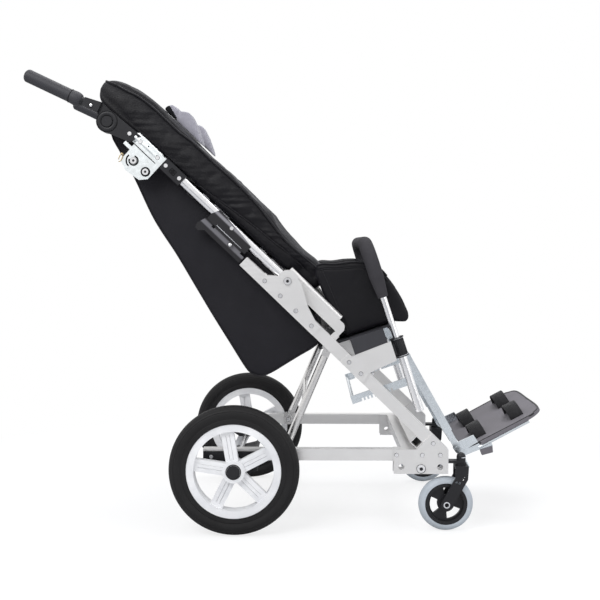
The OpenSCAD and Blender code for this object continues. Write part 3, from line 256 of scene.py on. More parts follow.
def tread(name, colour):
    """Rubber with rings on its sidewall and fine notches across its tread, about the rear axle."""
    m, t, b = new_material(name, 0.18)
    v = coords(t)
    p = parts_of(t, v)
    x = math_node(t, "SUBTRACT", p[0], -MID_X / 1000)
    z = math_node(t, "SUBTRACT", p[2], WHEEL_RADIUS)
    square = math_node(t, "ADD", math_node(t, "MULTIPLY", x, x), math_node(t, "MULTIPLY", z, z))
    share = math_node(t, "DIVIDE", math_node(t, "SQRT", square), WHEEL_RADIUS)
    rings = ramp(t, share, [(at, (h, h, h)) for at, h in TYRE_RINGS])
    turn = math_node(t, "SINE", math_node(t, "MULTIPLY", math_node(t, "ARCTAN2", z, x), TREAD_NOTCHES))
    notch = math_node(t, "MULTIPLY", turn, span(t, share, 0.0, 0.6, 0.955, 0.975))
    fine = noise(t, v, 1100.0, 2.0, 0.6)
    broad = noise(t, v, 16.0, 4.0, 0.55)
    rough = math_node(t, "ADD", notch, math_node(t, "MULTIPLY", fine, 0.35))
    height = math_node(t, "ADD", math_node(t, "MULTIPLY", rings, 4.0), rough)
    dye(t, b, broad, colour, 0.85, 1.2)
    gloss(t, b, broad, 0.46, 0.62)
    bump(t, b, height, 0.6, 0.0006)
    return m


def wave(t, vector, scale, direction):
    w = t.nodes.new("ShaderNodeTexWave")
    w.wave_type = "BANDS"
    w.bands_direction = direction
    w.inputs["Scale"].default_value = scale
    w.inputs["Distortion"].default_value = 0.6
    w.inputs["Detail"].default_value = 1.0
    w.inputs["Detail Scale"].default_value = 3.0
    t.links.new(vector, w.inputs["Vector"])
    return w.outputs["Fac"]


def cloth(name, colour, rough=0.8, thread=330.0, sheen=0.35, weave=0.35, vary=0.16, tint=(1, 1, 1),
          axes=("Y", "Z"), spec=0.3, speck=0.0):
    """A plain weave: two crossed sets of threads, with a soft uneven dye and, with speck, flecks in it."""
    m, t, b = new_material(name, spec)
    v = coords(t)
    turned = coords(t, rotation=(0, BACK_ANGLE, 0))
    threads = math_node(t, "ADD", wave(t, v, thread, axes[0]), wave(t, turned, thread, axes[1]))
    broad = noise(t, v, 11.0, 4.0, 0.6)
    fine = noise(t, v, 700.0, 2.0, 0.5)
    if speck:
        flecks = noise(t, v, 420.0, 3.0, 0.7)
        broad = math_node(t, "ADD", math_node(t, "MULTIPLY", broad, 1 - speck),
                          math_node(t, "MULTIPLY", flecks, speck))
    dye(t, b, broad, colour, 1 - vary, 1 + vary, top=0.72)
    gloss(t, b, fine, rough - 0.06, rough + 0.06, 0.0, 1.0)
    bump(t, b, math_node(t, "ADD", threads, fine), weave, 0.00025)
    b.inputs["Sheen Weight"].default_value = sheen
    b.inputs["Sheen Roughness"].default_value = 0.45
    b.inputs["Sheen Tint"].default_value = (*tint, 1)
    return m


MAT = {
    "satin": metal("satin_aluminium", (0.80, 0.792, 0.787), 0.40, grain=0.08, metallic=0.75),
    "bright": metal("bright_aluminium", (0.88, 0.88, 0.895), 0.22, grain=0.0, long=150.0, across=150.0),
    "strut": metal("strut_aluminium", (0.74, 0.73, 0.725), 0.28, grain=0.0, long=200.0, across=200.0),
    "zinc": metal("zinc_steel", (0.76, 0.81, 0.85), 0.24, grain=0.03, vary=0.06, long=110.0, across=110.0),
    "plate": metal("zinc_plate", (0.87, 0.91, 0.92), 0.34, grain=0.03, vary=0.02, long=110.0, across=110.0),
    "brass": metal("brass_wire", (0.62, 0.50, 0.30), 0.35, grain=0.05),
    "rim_line": plastic("white_plastic", (0.72, 0.73, 0.76), 0.35, grain=0.1, size=700.0),
    # Painted shade: a near-black for shadow lines and the shade in grooves, slots and windows; the small dark screw and
    # bolt heads use it too
    "shadow": plastic("painted_shade", (0.010, 0.010, 0.011), 0.6, grain=0.3, spec=0.1),
    "nylon": plastic("black_nylon", (0.020, 0.020, 0.0225), 0.40, spec=0.24),
    # Smoked plastic: its two lighter bands are painted light, the lit tubes behind seen through it with their
    # highlights
    "smoke": smoked("smoke_plastic", (0.012, 0.0115, 0.014),
                    [(-35, -28, (0.16, 0.157, 0.172)), (1, 5, (0.26, 0.255, 0.275))], 0.12),
    "foam": plastic("black_foam", (0.050, 0.048, 0.053), 0.85, grain=0.9, size=1500.0, spec=0.12),
    "grip": plastic("grip_rubber", (0.038, 0.038, 0.044), 0.55, grain=0.8, size=1200.0, spec=0.35),
    "fabric": cloth("black_fabric", (0.0052, 0.0049, 0.0068), rough=0.44, sheen=0.07, vary=0.2,
                    tint=(0.72, 0.74, 0.9), spec=0.20),
    "mesh": cloth("dark_mesh", (0.012, 0.012, 0.014), rough=0.85, thread=260.0, sheen=0.1, weave=0.9,
                  vary=0.15, spec=0.1),
    "piping": cloth("piping_cord", (0.012, 0.0115, 0.0145), rough=0.6, thread=520.0, sheen=0.1, weave=0.3,
                    vary=0.1, spec=0.25),
    "web": cloth("webbing", (0.013, 0.0125, 0.0145), rough=0.6, thread=430.0, sheen=0.12, weave=0.8,
                 vary=0.1, axes=("X", "Y"), spec=0.25),
    "bag": cloth("bag_cloth", (0.0145, 0.014, 0.0175), rough=0.58, thread=380.0, sheen=0.06, weave=0.25,
                 vary=0.12, spec=0.16),
    "melange": cloth("grey_melange", (0.36, 0.352, 0.40), rough=0.9, vary=0.22, thread=420.0, speck=0.35),
    "tyre": tread("tyre_rubber", (0.0165, 0.016, 0.0165)),
    "caster": plastic("caster_rubber", (0.50, 0.545, 0.59), 0.5, grain=0.25),
    "rim": plastic("rim_plastic", (0.90, 0.905, 0.925), 0.34, grain=0.15, size=700.0),
    "mat": plastic("mat_rubber", (0.175, 0.166, 0.182), 0.62, grain=0.9, size=700.0, spec=0.3),
}

LOOKS = {
    "satin": "beams rails hinge_plates front_plates cross_tube_front cross_bar_flat seat_side_plates link_bars",
    "strut": "struts strut_cross_tube",
    "bright": "rear_axle frame_rivets frame_bolts guide_tubes back_tubes back_fasteners safety_bar",
    "plate": "bracket_plates",
    "zinc": "leg_lugs leg_bars comb_frame leg_fork foot_frame",
    "nylon": "axle_brackets caster_arms bar_collars back_cross_tube knuckles clamp_blocks handle_arm_R "
             "handle_arm_L button_R button_L hub_cap_R hub_cap_L fork_R fork_L caster_rim_R caster_rim_L brake_pedal",
    "smoke": "latch_housings latch_lever_R latch_lever_L",
    "foam": "safety_foam",
    "grip": "grip_R grip_L seat_pan",
    "fabric": "seat_cushion side_panels back_pad rear_bag foot_straps",
    "melange": "headrest_pads",
    "tyre": "tyre_R tyre_L",
    "caster": "caster_tyre_R caster_tyre_L",
    "rim": "rim_R rim_L",
    "mat": "footplate",
}
for key, names in LOOKS.items():
    for n in names.split():
        me = NODES[n].data
        me.materials.clear()
        me.materials.append(MAT[key])


# Helpers for meshes
def curve(points, count):
    """Evenly spaced points on a smooth curve through the given ones."""
    p = np.array(points, float)
    ext = np.vstack([2 * p[0] - p[1], p, 2 * p[-1] - p[-2]])
    out = []
    for i in range(1, len(ext) - 2):
        a, b, c, d = ext[i - 1:i + 3]
        for t in np.linspace(0, 1, 16, endpoint=False):
            out.append(0.5 * (2 * b + (c - a) * t + (2 * a - 5 * b + 4 * c - d) * t * t
                              + (3 * b - a - 3 * c + d) * t ** 3))
    out.append(p[-1])
    out = np.array(out)
    length = np.concatenate([[0], np.cumsum(np.linalg.norm(np.diff(out, axis=0), axis=1))])
    at = np.linspace(0, length[-1], count)
    return np.array([np.interp(at, length, out[:, k]) for k in range(out.shape[1])]).T


def even_normals(me, weld=False):
    """Turns a mesh's faces the same way out, and joins its double points on request."""
    bm = bmesh.new()
    bm.from_mesh(me)
    if weld:
        bmesh.ops.remove_doubles(bm, verts=bm.verts, dist=1e-6)
    bmesh.ops.recalc_face_normals(bm, faces=bm.faces)
    bm.to_mesh(me)
    bm.free()


def smooth_faces(me):
    me.polygons.foreach_set("use_smooth", [True] * len(me.polygons))


def piece(name, verts, faces, mat, body, slot, smooth=True):
    me = bpy.data.meshes.new(name)
    me.from_pydata([tuple(v) for v in verts], [], faces)
    me.validate()
    even_normals(me)
    o = bpy.data.objects.new(name, me)
    scene.collection.objects.link(o)
    me.materials.append(MAT[mat])
    if smooth:
        smooth_faces(me)
    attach(o, body)
    return o


def loft(rows, ring=True):
    """Vertices and faces of a grid of rows. With ring each row is closed and the ends have caps."""
    r, c = len(rows), len(rows[0])
    verts = [p for row in rows for p in row]
    faces = []
    for i in range(r - 1):
        for j in range(c if ring else c - 1):
            k = (j + 1) % c
            faces.append((i * c + j, i * c + k, (i + 1) * c + k, (i + 1) * c + j))
    if ring:
        for i in (0, r - 1):
            m = Vector((0, 0, 0))
            for p in rows[i]:
                m += Vector(p)
            verts.append(m / c)
            for j in range(c):
                faces.append((i * c + j, i * c + (j + 1) % c, len(verts) - 1))
    return verts, faces


def tube(name, points, radius, mat, body, slot, sides=10, flat=1.0):
    """A round or flattened cord along the points."""
    p = [Vector(q) for q in points]
    rows, up = [], None
    for i in range(len(p)):
        t = (p[min(i + 1, len(p) - 1)] - p[max(i - 1, 0)]).normalized()
        if up is None:
            up = t.orthogonal().normalized()
        up = (up - t * up.dot(t)).normalized()
        side = t.cross(up)
        rows.append([p[i] + (up * math.cos(q) * flat + side * math.sin(q)) * radius
                     for q in np.linspace(0, 2 * math.pi, sides, endpoint=False)])
    return piece(name, *loft(rows), mat, body, slot)


def read_points(me, what):
    out = np.empty(len(me.vertices) * 3)
    me.vertices.foreach_get(what, out)
    return out.reshape(-1, 3)


def points_of(o):
    return read_points(o.data, "co")


def normals_of(o):
    return read_points(o.data, "normal")


def move_to(o, co):
    o.data.vertices.foreach_set("co", np.asarray(co, float).ravel())
    o.data.update()


def hills(co, size, seed=0.0):
    """Smooth noise at each point, from -1 to 1. Size is its grain along each axis, in the points' unit."""
    s = np.array(size, float)
    return np.array([noise3.noise(Vector(p / s) + Vector((seed, 2 * seed, -seed))) for p in co])


def bell(x, width):
    """A smooth hump of height 1 at x = 0."""
    return np.exp(-(x / width) ** 2)


def apply_modifiers(o):
    dg = bpy.context.evaluated_depsgraph_get()
    me = bpy.data.meshes.new_from_object(o.evaluated_get(dg))
    old = o.data
    o.modifiers.clear()
    o.data = me
    bpy.data.meshes.remove(old)


def remesh(o, voxel):
    m = o.modifiers.new("remesh", "REMESH")
    m.mode = "VOXEL"
    m.voxel_size = voxel
    apply_modifiers(o)


def relax(o, count, factor=0.5):
    m = o.modifiers.new("smooth", "SMOOTH")
    m.iterations = count
    m.factor = factor
    apply_modifiers(o)


def subdivide(o):
    m = o.modifiers.new("finer", "SUBSURF")
    m.levels = m.render_levels = 1
    apply_modifiers(o)
    smooth_faces(o.data)


def swell(o, held, pressure=4.0, grow=0.0, cap=0.006, frames=20):
    """Cloth under pressure, held at some points. Each point moves by cap at most."""
    group = o.vertex_groups.new(name="held")
    for i, w in held:
        group.add([int(i)], float(w), "REPLACE")
    m = o.modifiers.new("cloth", "CLOTH")
    st = m.settings
    st.quality = 5
    st.mass = 0.25
    st.tension_stiffness = st.compression_stiffness = 18
    st.shear_stiffness = 8
    st.bending_stiffness = 0.6
    st.use_pressure = True
    st.uniform_pressure_force = pressure
    st.effector_weights.gravity = 0
    st.vertex_group_mass = "held"
    st.shrink_min = -grow
    m.collision_settings.use_collision = False
    m.point_cache.frame_start = 1
    m.point_cache.frame_end = frames
    for f in range(1, frames + 1):
        scene.frame_set(f)
    e = o.evaluated_get(bpy.context.evaluated_depsgraph_get())
    rest = points_of(o)
    d = read_points(e.data, "co") - rest
    length = np.linalg.norm(d, axis=1, keepdims=True)
    o.modifiers.remove(m)
    o.vertex_groups.clear()
    move_to(o, rest + d * np.minimum(1.0, cap / np.maximum(length, 1e-9)))
    scene.frame_set(1)


def distance_to(points, line):
    """How far each 2-D point lies from a line through the given points."""
    p, q = np.asarray(points, float), np.asarray(line, float)
    best = np.full(len(p), 1e9)
    for a, b in zip(q[:-1], q[1:]):
        d = b - a
        t = np.clip(((p - a) @ d) / max(d @ d, 1e-12), 0, 1)
        best = np.minimum(best, np.linalg.norm(p - a - t[:, None] * d, axis=1))
    return best


def in_back(co):
    """Back-frame s, n and y in millimetres of points in metres."""
    x = co[:, 0] * 1000 + MID_X - PIVOT[0]
    z = co[:, 2] * 1000 - PIVOT[1]
    c, k = math.cos(BACK_ANGLE), math.sin(BACK_ANGLE)
    return np.array([x * c - z * k, x * k + z * c, co[:, 1] * 1000]).T


def in_seat(co):
    """Seat-frame x, z and y in millimetres of points in metres."""
    x = (co[:, 0] - SEAT[0]) * 1000
    z = (co[:, 2] - SEAT[2]) * 1000
    c, k = math.cos(SEAT_TILT), math.sin(SEAT_TILT)
    return np.array([x * c + z * k, -x * k + z * c, co[:, 1] * 1000]).T


def crumple(o):
    """Gives the piece its own copy of its mesh."""
    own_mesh(o)


SIDES = (("R", -1), ("L", 1))
FABRIC = ("back", "black_fabric")


# Back liner: lines of its side view (s, n), and its half width (s, y), in millimetres of the back's frame
PIPING = [(-627, 44.5), (-598, 55.0), (-569, 62.5), (-545, 70), (-517, 74.2), (-487, 75.9), (-421, 75.8), (-387, 79.8),
          (-356, 80.7), (-323, 79.9), (-286, 80.5), (-250, 82.1), (-207, 81), (-170, 78.4), (-125, 71.6), (-80, 64.7),
          (-34, 63.5), (6, 65), (44, 68)]
SECOND = [(-330, 15.5), (-299, 18.5), (-261, 22.4), (-217, 29.5), (-176, 34.2), (-133, 38.8), (-91, 41.8), (-53, 45.8),
          (-14, 45.6), (5, 45.1), (40, 46)]
FRONT = [(-630, 44), (-627, 49.5), (-619, 58.5), (-607, 66.5), (-580, 75), (-554, 80.5), (-523, 85.1), (-490, 86.8),
         (-344, 88.5), (-317, 89.8), (-270, 90.9), (-215, 89.4), (-143, 85.4), (-80, 76.6), (-31, 73.1), (12, 75.5),
         (50, 74), (64, 68), (68, 60)]
REAR = [(-630, 41), (-627, 30), (-621, 17), (-611, 6), (-597, 0), (-575, -2), (-540, -1.5), (-500, 4), (-460, 11),
        (-430, 14.2), (-200, 14.2), (0, 14.2), (40, 16), (60, 24), (68, 40)]
WIDTH = [(-630, 164), (-625, 174), (-614, 183.5), (-590, 190), (-560, 194), (-330, 193), (-100, 190.5), (-35, 187),
         (-22, 182), (-8, 168), (6, 157), (50, 155), (62, 150), (68, 140)]
# How finely each stretch of the section's half is divided
LINER_STEPS = [6, 5, 2, 1, 1, 2, 2, 2, 2, 2, 2, 2, 2, 3, 3, 3, 4, 3]
LINER_STATIONS = np.concatenate([[-630, -628.5, -626, -622, -616.5, -610, -601], np.arange(-590, 50, 6.0),
                                 [50, 55, 59, 62.5, 65.5, 68]])


def track(table, s):
    a = np.array(table, float)
    return np.interp(s, a[:, 0], a[:, 1])


def liner_row(s):
    """The liner's section at s: flat behind, two bolsters at its sides and a hollow between them."""
    w, nf, nr = (float(track(line, s)) for line in (WIDTH, FRONT, REAR))
    n1 = min(float(track(PIPING, s)), nf - 1.5)
    n2 = min(max(float(track(SECOND, s)), nr + 2.0), n1 - 4)
    if nf - nr < 8:
        n1, n2 = nr + 0.7 * (nf - nr), nr + 0.35 * (nf - nr)
    low = nr + 0.35 * min(12.0, 0.3 * (nf - nr))
    dip = min(26.0, 0.35 * (nf - nr))
    p = np.array([
        (0, nr), (0.5 * w, nr), (w - 16, nr), (w - 6, nr + 0.8), (w - 2.0, low), (w - 1.2, 0.5 * (n2 + low)),
        (w - 1.6, n2), (w - 0.6, n2 + 0.25 * (n1 - n2)), (w - 0.4, 0.5 * (n2 + n1)), (w - 2.2, n2 + 0.8 * (n1 - n2)),
        (w - 5.0, n1), (w - 8.0, n1 + 0.6 * (nf - n1)), (w - 16, nf - 0.5), (w - 27, nf), (w - 42, nf - 0.16 * dip),
        (w - 64, nf - 0.52 * dip), (w - 92, nf - 0.86 * dip), (0.3 * w, nf - dip), (0, nf - dip)], float)
    out = []
    for a, b, steps in zip(p[:-1], p[1:], LINER_STEPS):
        out += [a + (b - a) * t for t in np.linspace(0, 1, steps, endpoint=False)]
    out.append(p[-1])
    left = [(-y, n) for y, n in reversed(out[1:-1])]
    return [back(s, n, y) for y, n in out + left]


liner = piece("back_liner", *loft([liner_row(s) for s in LINER_STATIONS]), "fabric", *FABRIC)
relax(liner, 2, 0.4)
co = in_back(points_of(liner))
near = np.minimum(distance_to(co[:, :2], PIPING), distance_to(co[:, :2], SECOND))
hold = np.where(np.abs(co[:, 2]) > 150, bell(near, 5.0), 0.0)
hold = np.maximum(hold, np.where(co[:, 1] < 20, 0.85, 0.0))
swell(liner, enumerate(np.clip(hold, 0, 1)), pressure=3.0, grow=0.006, cap=0.004, frames=16)
relax(liner, 1, 0.4)
subdivide(liner)
# Folds run across the side between the two seams, deepest beside them
co, nrm = points_of(liner), normals_of(liner)
b = in_back(co)
dp, ds = distance_to(b[:, :2], PIPING), distance_to(b[:, :2], SECOND)
on_side = np.clip((np.abs(b[:, 2]) - 120) / 40, 0, 1)
between = np.clip((b[:, 1] - track(SECOND, b[:, 0])) / 6, 0, 1) * on_side
between *= np.clip((track(PIPING, b[:, 0]) - b[:, 1]) / 4, 0.10, 1)
gather = np.exp(-dp / 16.0) + 0.9 * np.exp(-ds / 14.0)
FOLD_UP, FOLD_BACK = 0.725, 0.688
fold = FOLD_UP * b[:, 1] - FOLD_BACK * b[:, 0] + 2.5 * hills(b, (60.0, 60.0, 60.0), 1.3)
ridge = hills(np.array([fold, FOLD_UP * b[:, 0] + FOLD_BACK * b[:, 1], b[:, 2]]).T, (6.8, 85.0, 90.0), 3.1)
broad = hills(b, (46.0, 34.0, 80.0), 7.7)
along = np.clip((b[:, 0] + 560) / 60, 0.15, 1)
depth = -2.2 * bell(dp, 2.6) * on_side - 1.5 * bell(ds, 2.2) * on_side
depth += between * (3.1 * along * np.clip(0.45 + gather, 0, 1.1) * ridge + 1.2 * broad) + (1 - on_side) * 1.6 * broad
move_to(liner, co + nrm * depth[:, None] / 1000)
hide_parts("back_pad")
crumple(liner)

for tag, sign in SIDES:
    line = curve([(s, n, sign * (track(WIDTH, s) - 4.2)) for s, n in PIPING[1:]], 150)
    crumple(tube("liner_piping_%s" % tag, [back(*p) for p in line], 0.0023, "piping", *FABRIC))
    line = curve([(s, n, sign * (track(WIDTH, s) - 0.6)) for s, n in SECOND[1:-1]], 90)
    crumple(tube("liner_seam_%s" % tag, [back(*p) for p in line], 0.0014, "piping", *FABRIC, flat=0.8))
TOP_ARC = [(-598, 55.0, -185), (-616, 48.5, -178), (-628.5, 44, -160), (-630, 43.6, -120), (-630.2, 43.5, 0),
           (-630, 43.6, 120), (-628.5, 44, 160), (-616, 48.5, 178), (-598, 55.0, 185)]
crumple(tube("liner_piping_top", [back(*p) for p in curve(TOP_ARC, 120)], 0.0023, "piping", *FABRIC))


def prism(name, outline, y0, y1, place, mat, body, slot, voxel, inset, cap, soften, hold=None):
    """Padding with a given side view, swelled. Hold gives each point's share of being held."""
    p = np.array(outline, float)
    c = p.mean(axis=0)
    d = p - c
    p = c + d * (1 - inset / np.maximum(np.linalg.norm(d, axis=1, keepdims=True), 1e-6))
    n = len(p)
    verts = [place(x, z, y) for y in (y0, y1) for x, z in p]
    faces = [tuple(range(n)), tuple(range(2 * n - 1, n - 1, -1))]
    faces += [(i, (i + 1) % n, n + (i + 1) % n, n + i) for i in range(n)]
    o = piece(name, verts, faces, mat, body, slot)
    remesh(o, voxel)
    relax(o, soften)
    swell(o, enumerate(hold(points_of(o))) if hold else [], cap=cap)
    subdivide(o)
    return o


# Seat side panels, drawn in the seat's frame from the top of its pan
PAN_UP = 20.2
PANEL = [(-12, 186), (-3, 190.5), (10, 187.5), (35.8, 178), (70.5, 171), (104, 159.5), (124, 143.5), (134.4, 133),
         (143.3, 114.4), (153.5, 86.3), (162.5, 46), (165.5, 12), (163.5, -1), (153.3, -9.5), (129, -3.6), (125.5, 0.6),
         (83, 1.2), (10.9, 1.2), (2, 6), (-13, 63.5), (-17.3, 128.5), (-20, 165)]
TOP_EDGE = [(-6, 186), (10, 184.5), (35.8, 175), (70.5, 168), (102, 157), (122, 141), (134, 128), (142, 110)]
PANEL_SEAM = [(x + 11, z) for x, z in ((-9, 170), (-6, 142), (-2.5, 86), (0.5, 43), (5.5, 12))]
PANEL_INNER, PANEL_OUTER = 162.2, 177.8
# The binding's second row of stitches, below the edge
BINDING_W = 13.5
for tag, sign in SIDES:
    o = prism("side_panel_%s" % tag, [(x, z + PAN_UP) for x, z in PANEL], sign * PANEL_INNER, sign * PANEL_OUTER, seat,
              "fabric", "frame", "black_fabric", voxel=0.0045, inset=1.5, cap=0.0018, soften=3)
    co, nrm = points_of(o), normals_of(o)
    q = in_seat(co)
    flat = q[:, :2] - (0, PAN_UP)
    top, seam = distance_to(flat, TOP_EDGE), distance_to(flat, PANEL_SEAM)
    face = np.abs(nrm[:, 1]) ** 2
    folds = hills(np.array([flat[:, 0] - 0.4 * flat[:, 1], flat[:, 1], q[:, 2]]).T, (34.0, 60.0, 90.0), 1.7 * sign)
    fine = hills(q, (11.0, 19.0, 30.0), 5.0)
    d = -1.3 * bell(top - BINDING_W, 2.4) - 1.1 * bell(seam, 2.4)
    d = d + (0.9 * folds + 0.3 * fine) * np.clip((top - 16) / 12, 0, 1)
    y = q[:, 2] + np.sign(q[:, 2] - sign * 170) * face * d
    co[:, 1] = np.where(sign * y > 0, sign * np.clip(sign * y, 160.1, 179.9), y) / 1000
    move_to(o, co)
    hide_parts("side_panels")
    for name, radius, count, line in (
            ("panel_binding_low", 0.0011, 70,
             [(x * 0.985, z - BINDING_W + PAN_UP, sign * 179.4) for x, z in TOP_EDGE]),
            ("panel_binding", 0.0019, 80, [(x - 0.4, z + PAN_UP - 0.6, sign * 177.8) for x, z in TOP_EDGE]),
            ("panel_seam", 0.0010, 50, [(x, z + PAN_UP, sign * 179.2) for x, z in PANEL_SEAM])):
        tube("%s_%s" % (name, tag), [seat(*p) for p in curve(line, count)], radius, "piping", "frame", "black_fabric")

# Seat cushion: crowned, with two channels along it and three across, and a seam round its edge
CUSHION = [(-20, 26), (-12, 21), (0, 20.6), (142, 20.6), (154, 24), (160.5, 34), (161, 78), (156, 91), (142, 97),
           (-4, 97), (-16, 91), (-21, 80)]
CUSHION_Y = 150.0
CHANNELS_ALONG, CHANNELS_ACROSS, EDGE_SEAM = (-58.0, 58.0), (22.0, 78.0, 134.0), 84
cushion = prism("seat_pad", CUSHION, -CUSHION_Y, CUSHION_Y, seat, "fabric", "frame", "black_fabric",
                voxel=0.006, inset=3.0, cap=0.007, soften=6,
                hold=lambda co: np.where(in_seat(co)[:, 1] < 24.5, 1.0, 0.0))
co, nrm = points_of(cushion), normals_of(cushion)
q = in_seat(co)
SEAT_UP = np.array(seat(0, 1, 0) - SEAT) * 1000
up = np.clip(nrm @ SEAT_UP, 0, 1)
d = 5.0 * up * (1 - (q[:, 2] / 155) ** 2) * np.clip(1 - ((q[:, 0] - 70) / 95) ** 2, 0, 1)
for y in CHANNELS_ALONG:
    d -= 4.0 * up * bell(q[:, 2] - y, 4.0)
for x in CHANNELS_ACROSS:
    d -= 3.2 * up * bell(q[:, 0] - x, 3.6)
d -= 1.8 * (1 - up) * bell(q[:, 1] - EDGE_SEAM, 2.6)
d += 0.8 * hills(q, (26.0, 26.0, 34.0), 2.0)
co = co + nrm * d[:, None] / 1000
q = in_seat(co)
co[:, 1] = np.clip(co[:, 1], -0.1568, 0.1568)
# Nothing hangs below the pan's top face
low = np.maximum(q[:, 1], 20.35) - q[:, 1]
co += np.outer(low / 1000, SEAT_UP)
move_to(cushion, co)
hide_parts("seat_cushion")

# Headrest pads, with a dark mesh patch at the top of their sides
HEAD = [(-491, 89.4), (-360, 89.4), (-372, 97), (-392, 108.5), (-417, 120.5), (-438, 128.5), (-447, 124),
        (-459, 112.5), (-484, 111), (-491, 101)]
HEAD_Y0, HEAD_Y1 = 89.0, 154.0
PATCH = [(-492, 106), (-483, 105), (-455, 97), (-439, 84), (-437, 0)]
for tag, sign in SIDES:
    y0, y1 = sorted((sign * HEAD_Y0, sign * HEAD_Y1))
    o = prism("headrest_%s" % tag, HEAD, y0, y1, back, "melange", "back", "grey_fabric",
              voxel=0.004, inset=2.5, cap=0.004, soften=3,
              hold=lambda co: np.where(in_back(co)[:, 1] < 92, 1.0, 0.0))
    co, nrm = points_of(o), normals_of(o)
    b = in_back(co)
    crease = distance_to(b[:, :2], [(-459, 112), (-452, 92)])
    d = -2.2 * bell(crease, 2.8) + 0.7 * hills(b, (15.0, 15.0, 24.0), 4.0 + sign)
    d -= 1.2 * bell(np.abs(b[:, 2]) - (HEAD_Y0 + HEAD_Y1) / 2, 2.6) * np.clip((b[:, 1] - 96) / 8, 0, 1)
    co = co + nrm * d[:, None] / 1000
    low = np.maximum(in_back(co)[:, 1], 88.8) - in_back(co)[:, 1]
    co += np.outer(low, np.array(back(0, 1, 0) - back(0, 0, 0)))
    move_to(o, co)
    o.data.materials.append(MAT["mesh"])
    for f in o.data.polygons:
        s, n, _ = in_back(np.array([tuple(f.center)]))[0]
        if n < track(PATCH, s) and abs(f.normal[1]) > 0.1:
            f.material_index = 1
    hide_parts("headrest_pads")
    crumple(o)

# Rear bag: a lofted shell that hangs from its opening to the outline of its side view
BAG = [(-522, 0), (-531, -24), (-480, -42.5), (-423, -61), (-324, -99.5), (-230, -123), (-150, -146), (-73, -168),
       (10, -190), (63, -204), (84, -207), (97, -204), (112, -192.5), (122, -170), (130, -141), (141, -100),
       (152, -62), (153, -38), (140, -18), (104, 0)]
BAG_UP, BAG_HALF, BAG_CORNER, BAG_WALL = -13.7, 183.0, 10.0, 0.0018
BULGE, SAG, FULL_RUN = 3.6, 5.0, 60
outline = curve(BAG, 96)
outline[:, 1] = np.minimum(outline[:, 1], 0)
opening = np.array([[np.interp(f, [0, 0.04, 0.80, 1.0], [-522, -519, 60, 104]), 0.0]
                    for f in np.linspace(0, 1, len(outline))])
# Across the bag: side, corner, back, corner, side, one unit each
ACROSS = np.concatenate([k + np.linspace(0, 1, n)[min(k, 1):] for k, n in enumerate((17, 5, 29, 5, 17))])
rows = []
for a, b in zip(opening, outline):
    run = np.linalg.norm(b - a)
    r = min(BAG_CORNER, 0.45 * run)
    away = (b - a) / max(run, 1e-6)
    share = min(1, run / FULL_RUN)
    row = []
    for v in ACROSS:
        t = v if v <= 2.5 else 5 - v
        if t <= 1:
            p = a + away * (run - r) * t
            y = BAG_HALF + BULGE * math.sin(math.pi * t) * share
        elif t < 2:
            turn = (t - 1) * math.pi / 2
            p = a + away * (run - r + r * math.sin(turn))
            y = BAG_HALF - r + r * math.cos(turn)
        else:
            p = a + away * (run + SAG * math.sin(math.pi * (v - 2)) * share)
            y = abs((BAG_HALF - r) * (1 - 2 * (v - 2)))
        row.append(back(p[0], BAG_UP + p[1], -y if v < 2.5 else y))
    rows.append(row)
bag = piece("bag_shell", *loft(rows, ring=False), "bag", *FABRIC)
co, nrm = points_of(bag), normals_of(bag)
b = in_back(co)
folds = hills(np.array([b[:, 0] + 0.5 * b[:, 1], b[:, 1], b[:, 2]]).T, (55.0, 120.0, 140.0), 9.0)
fine = hills(b, (18.0, 30.0, 40.0), 6.0)
d = (1.6 * folds + 0.45 * fine) * np.clip((BAG_UP - b[:, 1]) / 60.0, 0, 1)
co = co + nrm * d[:, None] / 1000
co[:, 1] = np.clip(co[:, 1], -0.1878, 0.1878)
move_to(bag, co)
m = bag.modifiers.new("cloth", "SOLIDIFY")
m.thickness = BAG_WALL
m.offset = -1
apply_modifiers(bag)
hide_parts("rear_bag")
# Piping on the bag's corners, and the loops that carry it behind the back tubes
TUBE_Y, LOOP_R, LOOP_W = 214, 12.4, 9
for tag, sign in SIDES:
    line = []
    for a, b in zip(opening, outline):
        run = np.linalg.norm(b - a)
        if run > 12:
            p = a + (b - a) / run * (run - 1.9)
            line.append(back(p[0], BAG_UP + p[1], sign * 181.4))
    tube("bag_edge_%s" % tag, line, 0.0015, "piping", *FABRIC)
    for k, s in enumerate((-441.0, -297.0, -80.0)):
        rows = []
        for q in np.linspace(-0.12 * math.pi, 0.62 * math.pi, 16):
            n, y = LOOP_R * math.sin(-q), sign * (TUBE_Y - LOOP_R * math.cos(q))
            rows.append([back(s + x, (1 + e) * n, sign * TUBE_Y + (1 + e) * (y - sign * TUBE_Y))
                         for x, e in ((-LOOP_W, 0), (LOOP_W, 0), (LOOP_W, 0.1), (-LOOP_W, 0.1))])
        piece("bag_loop_%s_%d" % (tag, k), *loft(rows), "web", *FABRIC, smooth=False)

# Foot straps: arched bands of webbing with rounded edges
STRAP_R, STRAP_SINK, MAT_TOP = 42, 12, -13.9
BAND = ((1.2, 0.0), (17, 0.0), (32.8, 0.0), (34, -1.3), (32.8, -2.6), (17, -2.6), (1.2, -2.6), (0, -1.3))
for end, u in (("rear", 46.0), ("front", 148.0)):
    for tag, yc in (("R", -75.0), ("L", 75.0)):
        rows = []
        for a in np.linspace(0, 1, 48):
            c, k = (turn(math.pi * (0.0925 + 0.815 * a)) for turn in (math.cos, math.sin))
            y, h = STRAP_R * c, max(STRAP_R * k - STRAP_SINK, 0.0)
            rows.append([foot(u + x, MAT_TOP + max(0.05, h + t * k), yc + y + t * c) for x, t in BAND])
        o = piece("foot_strap_%s_%s" % (end, tag), *loft(rows), "web", "foot", "black_fabric")
        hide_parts("foot_straps")


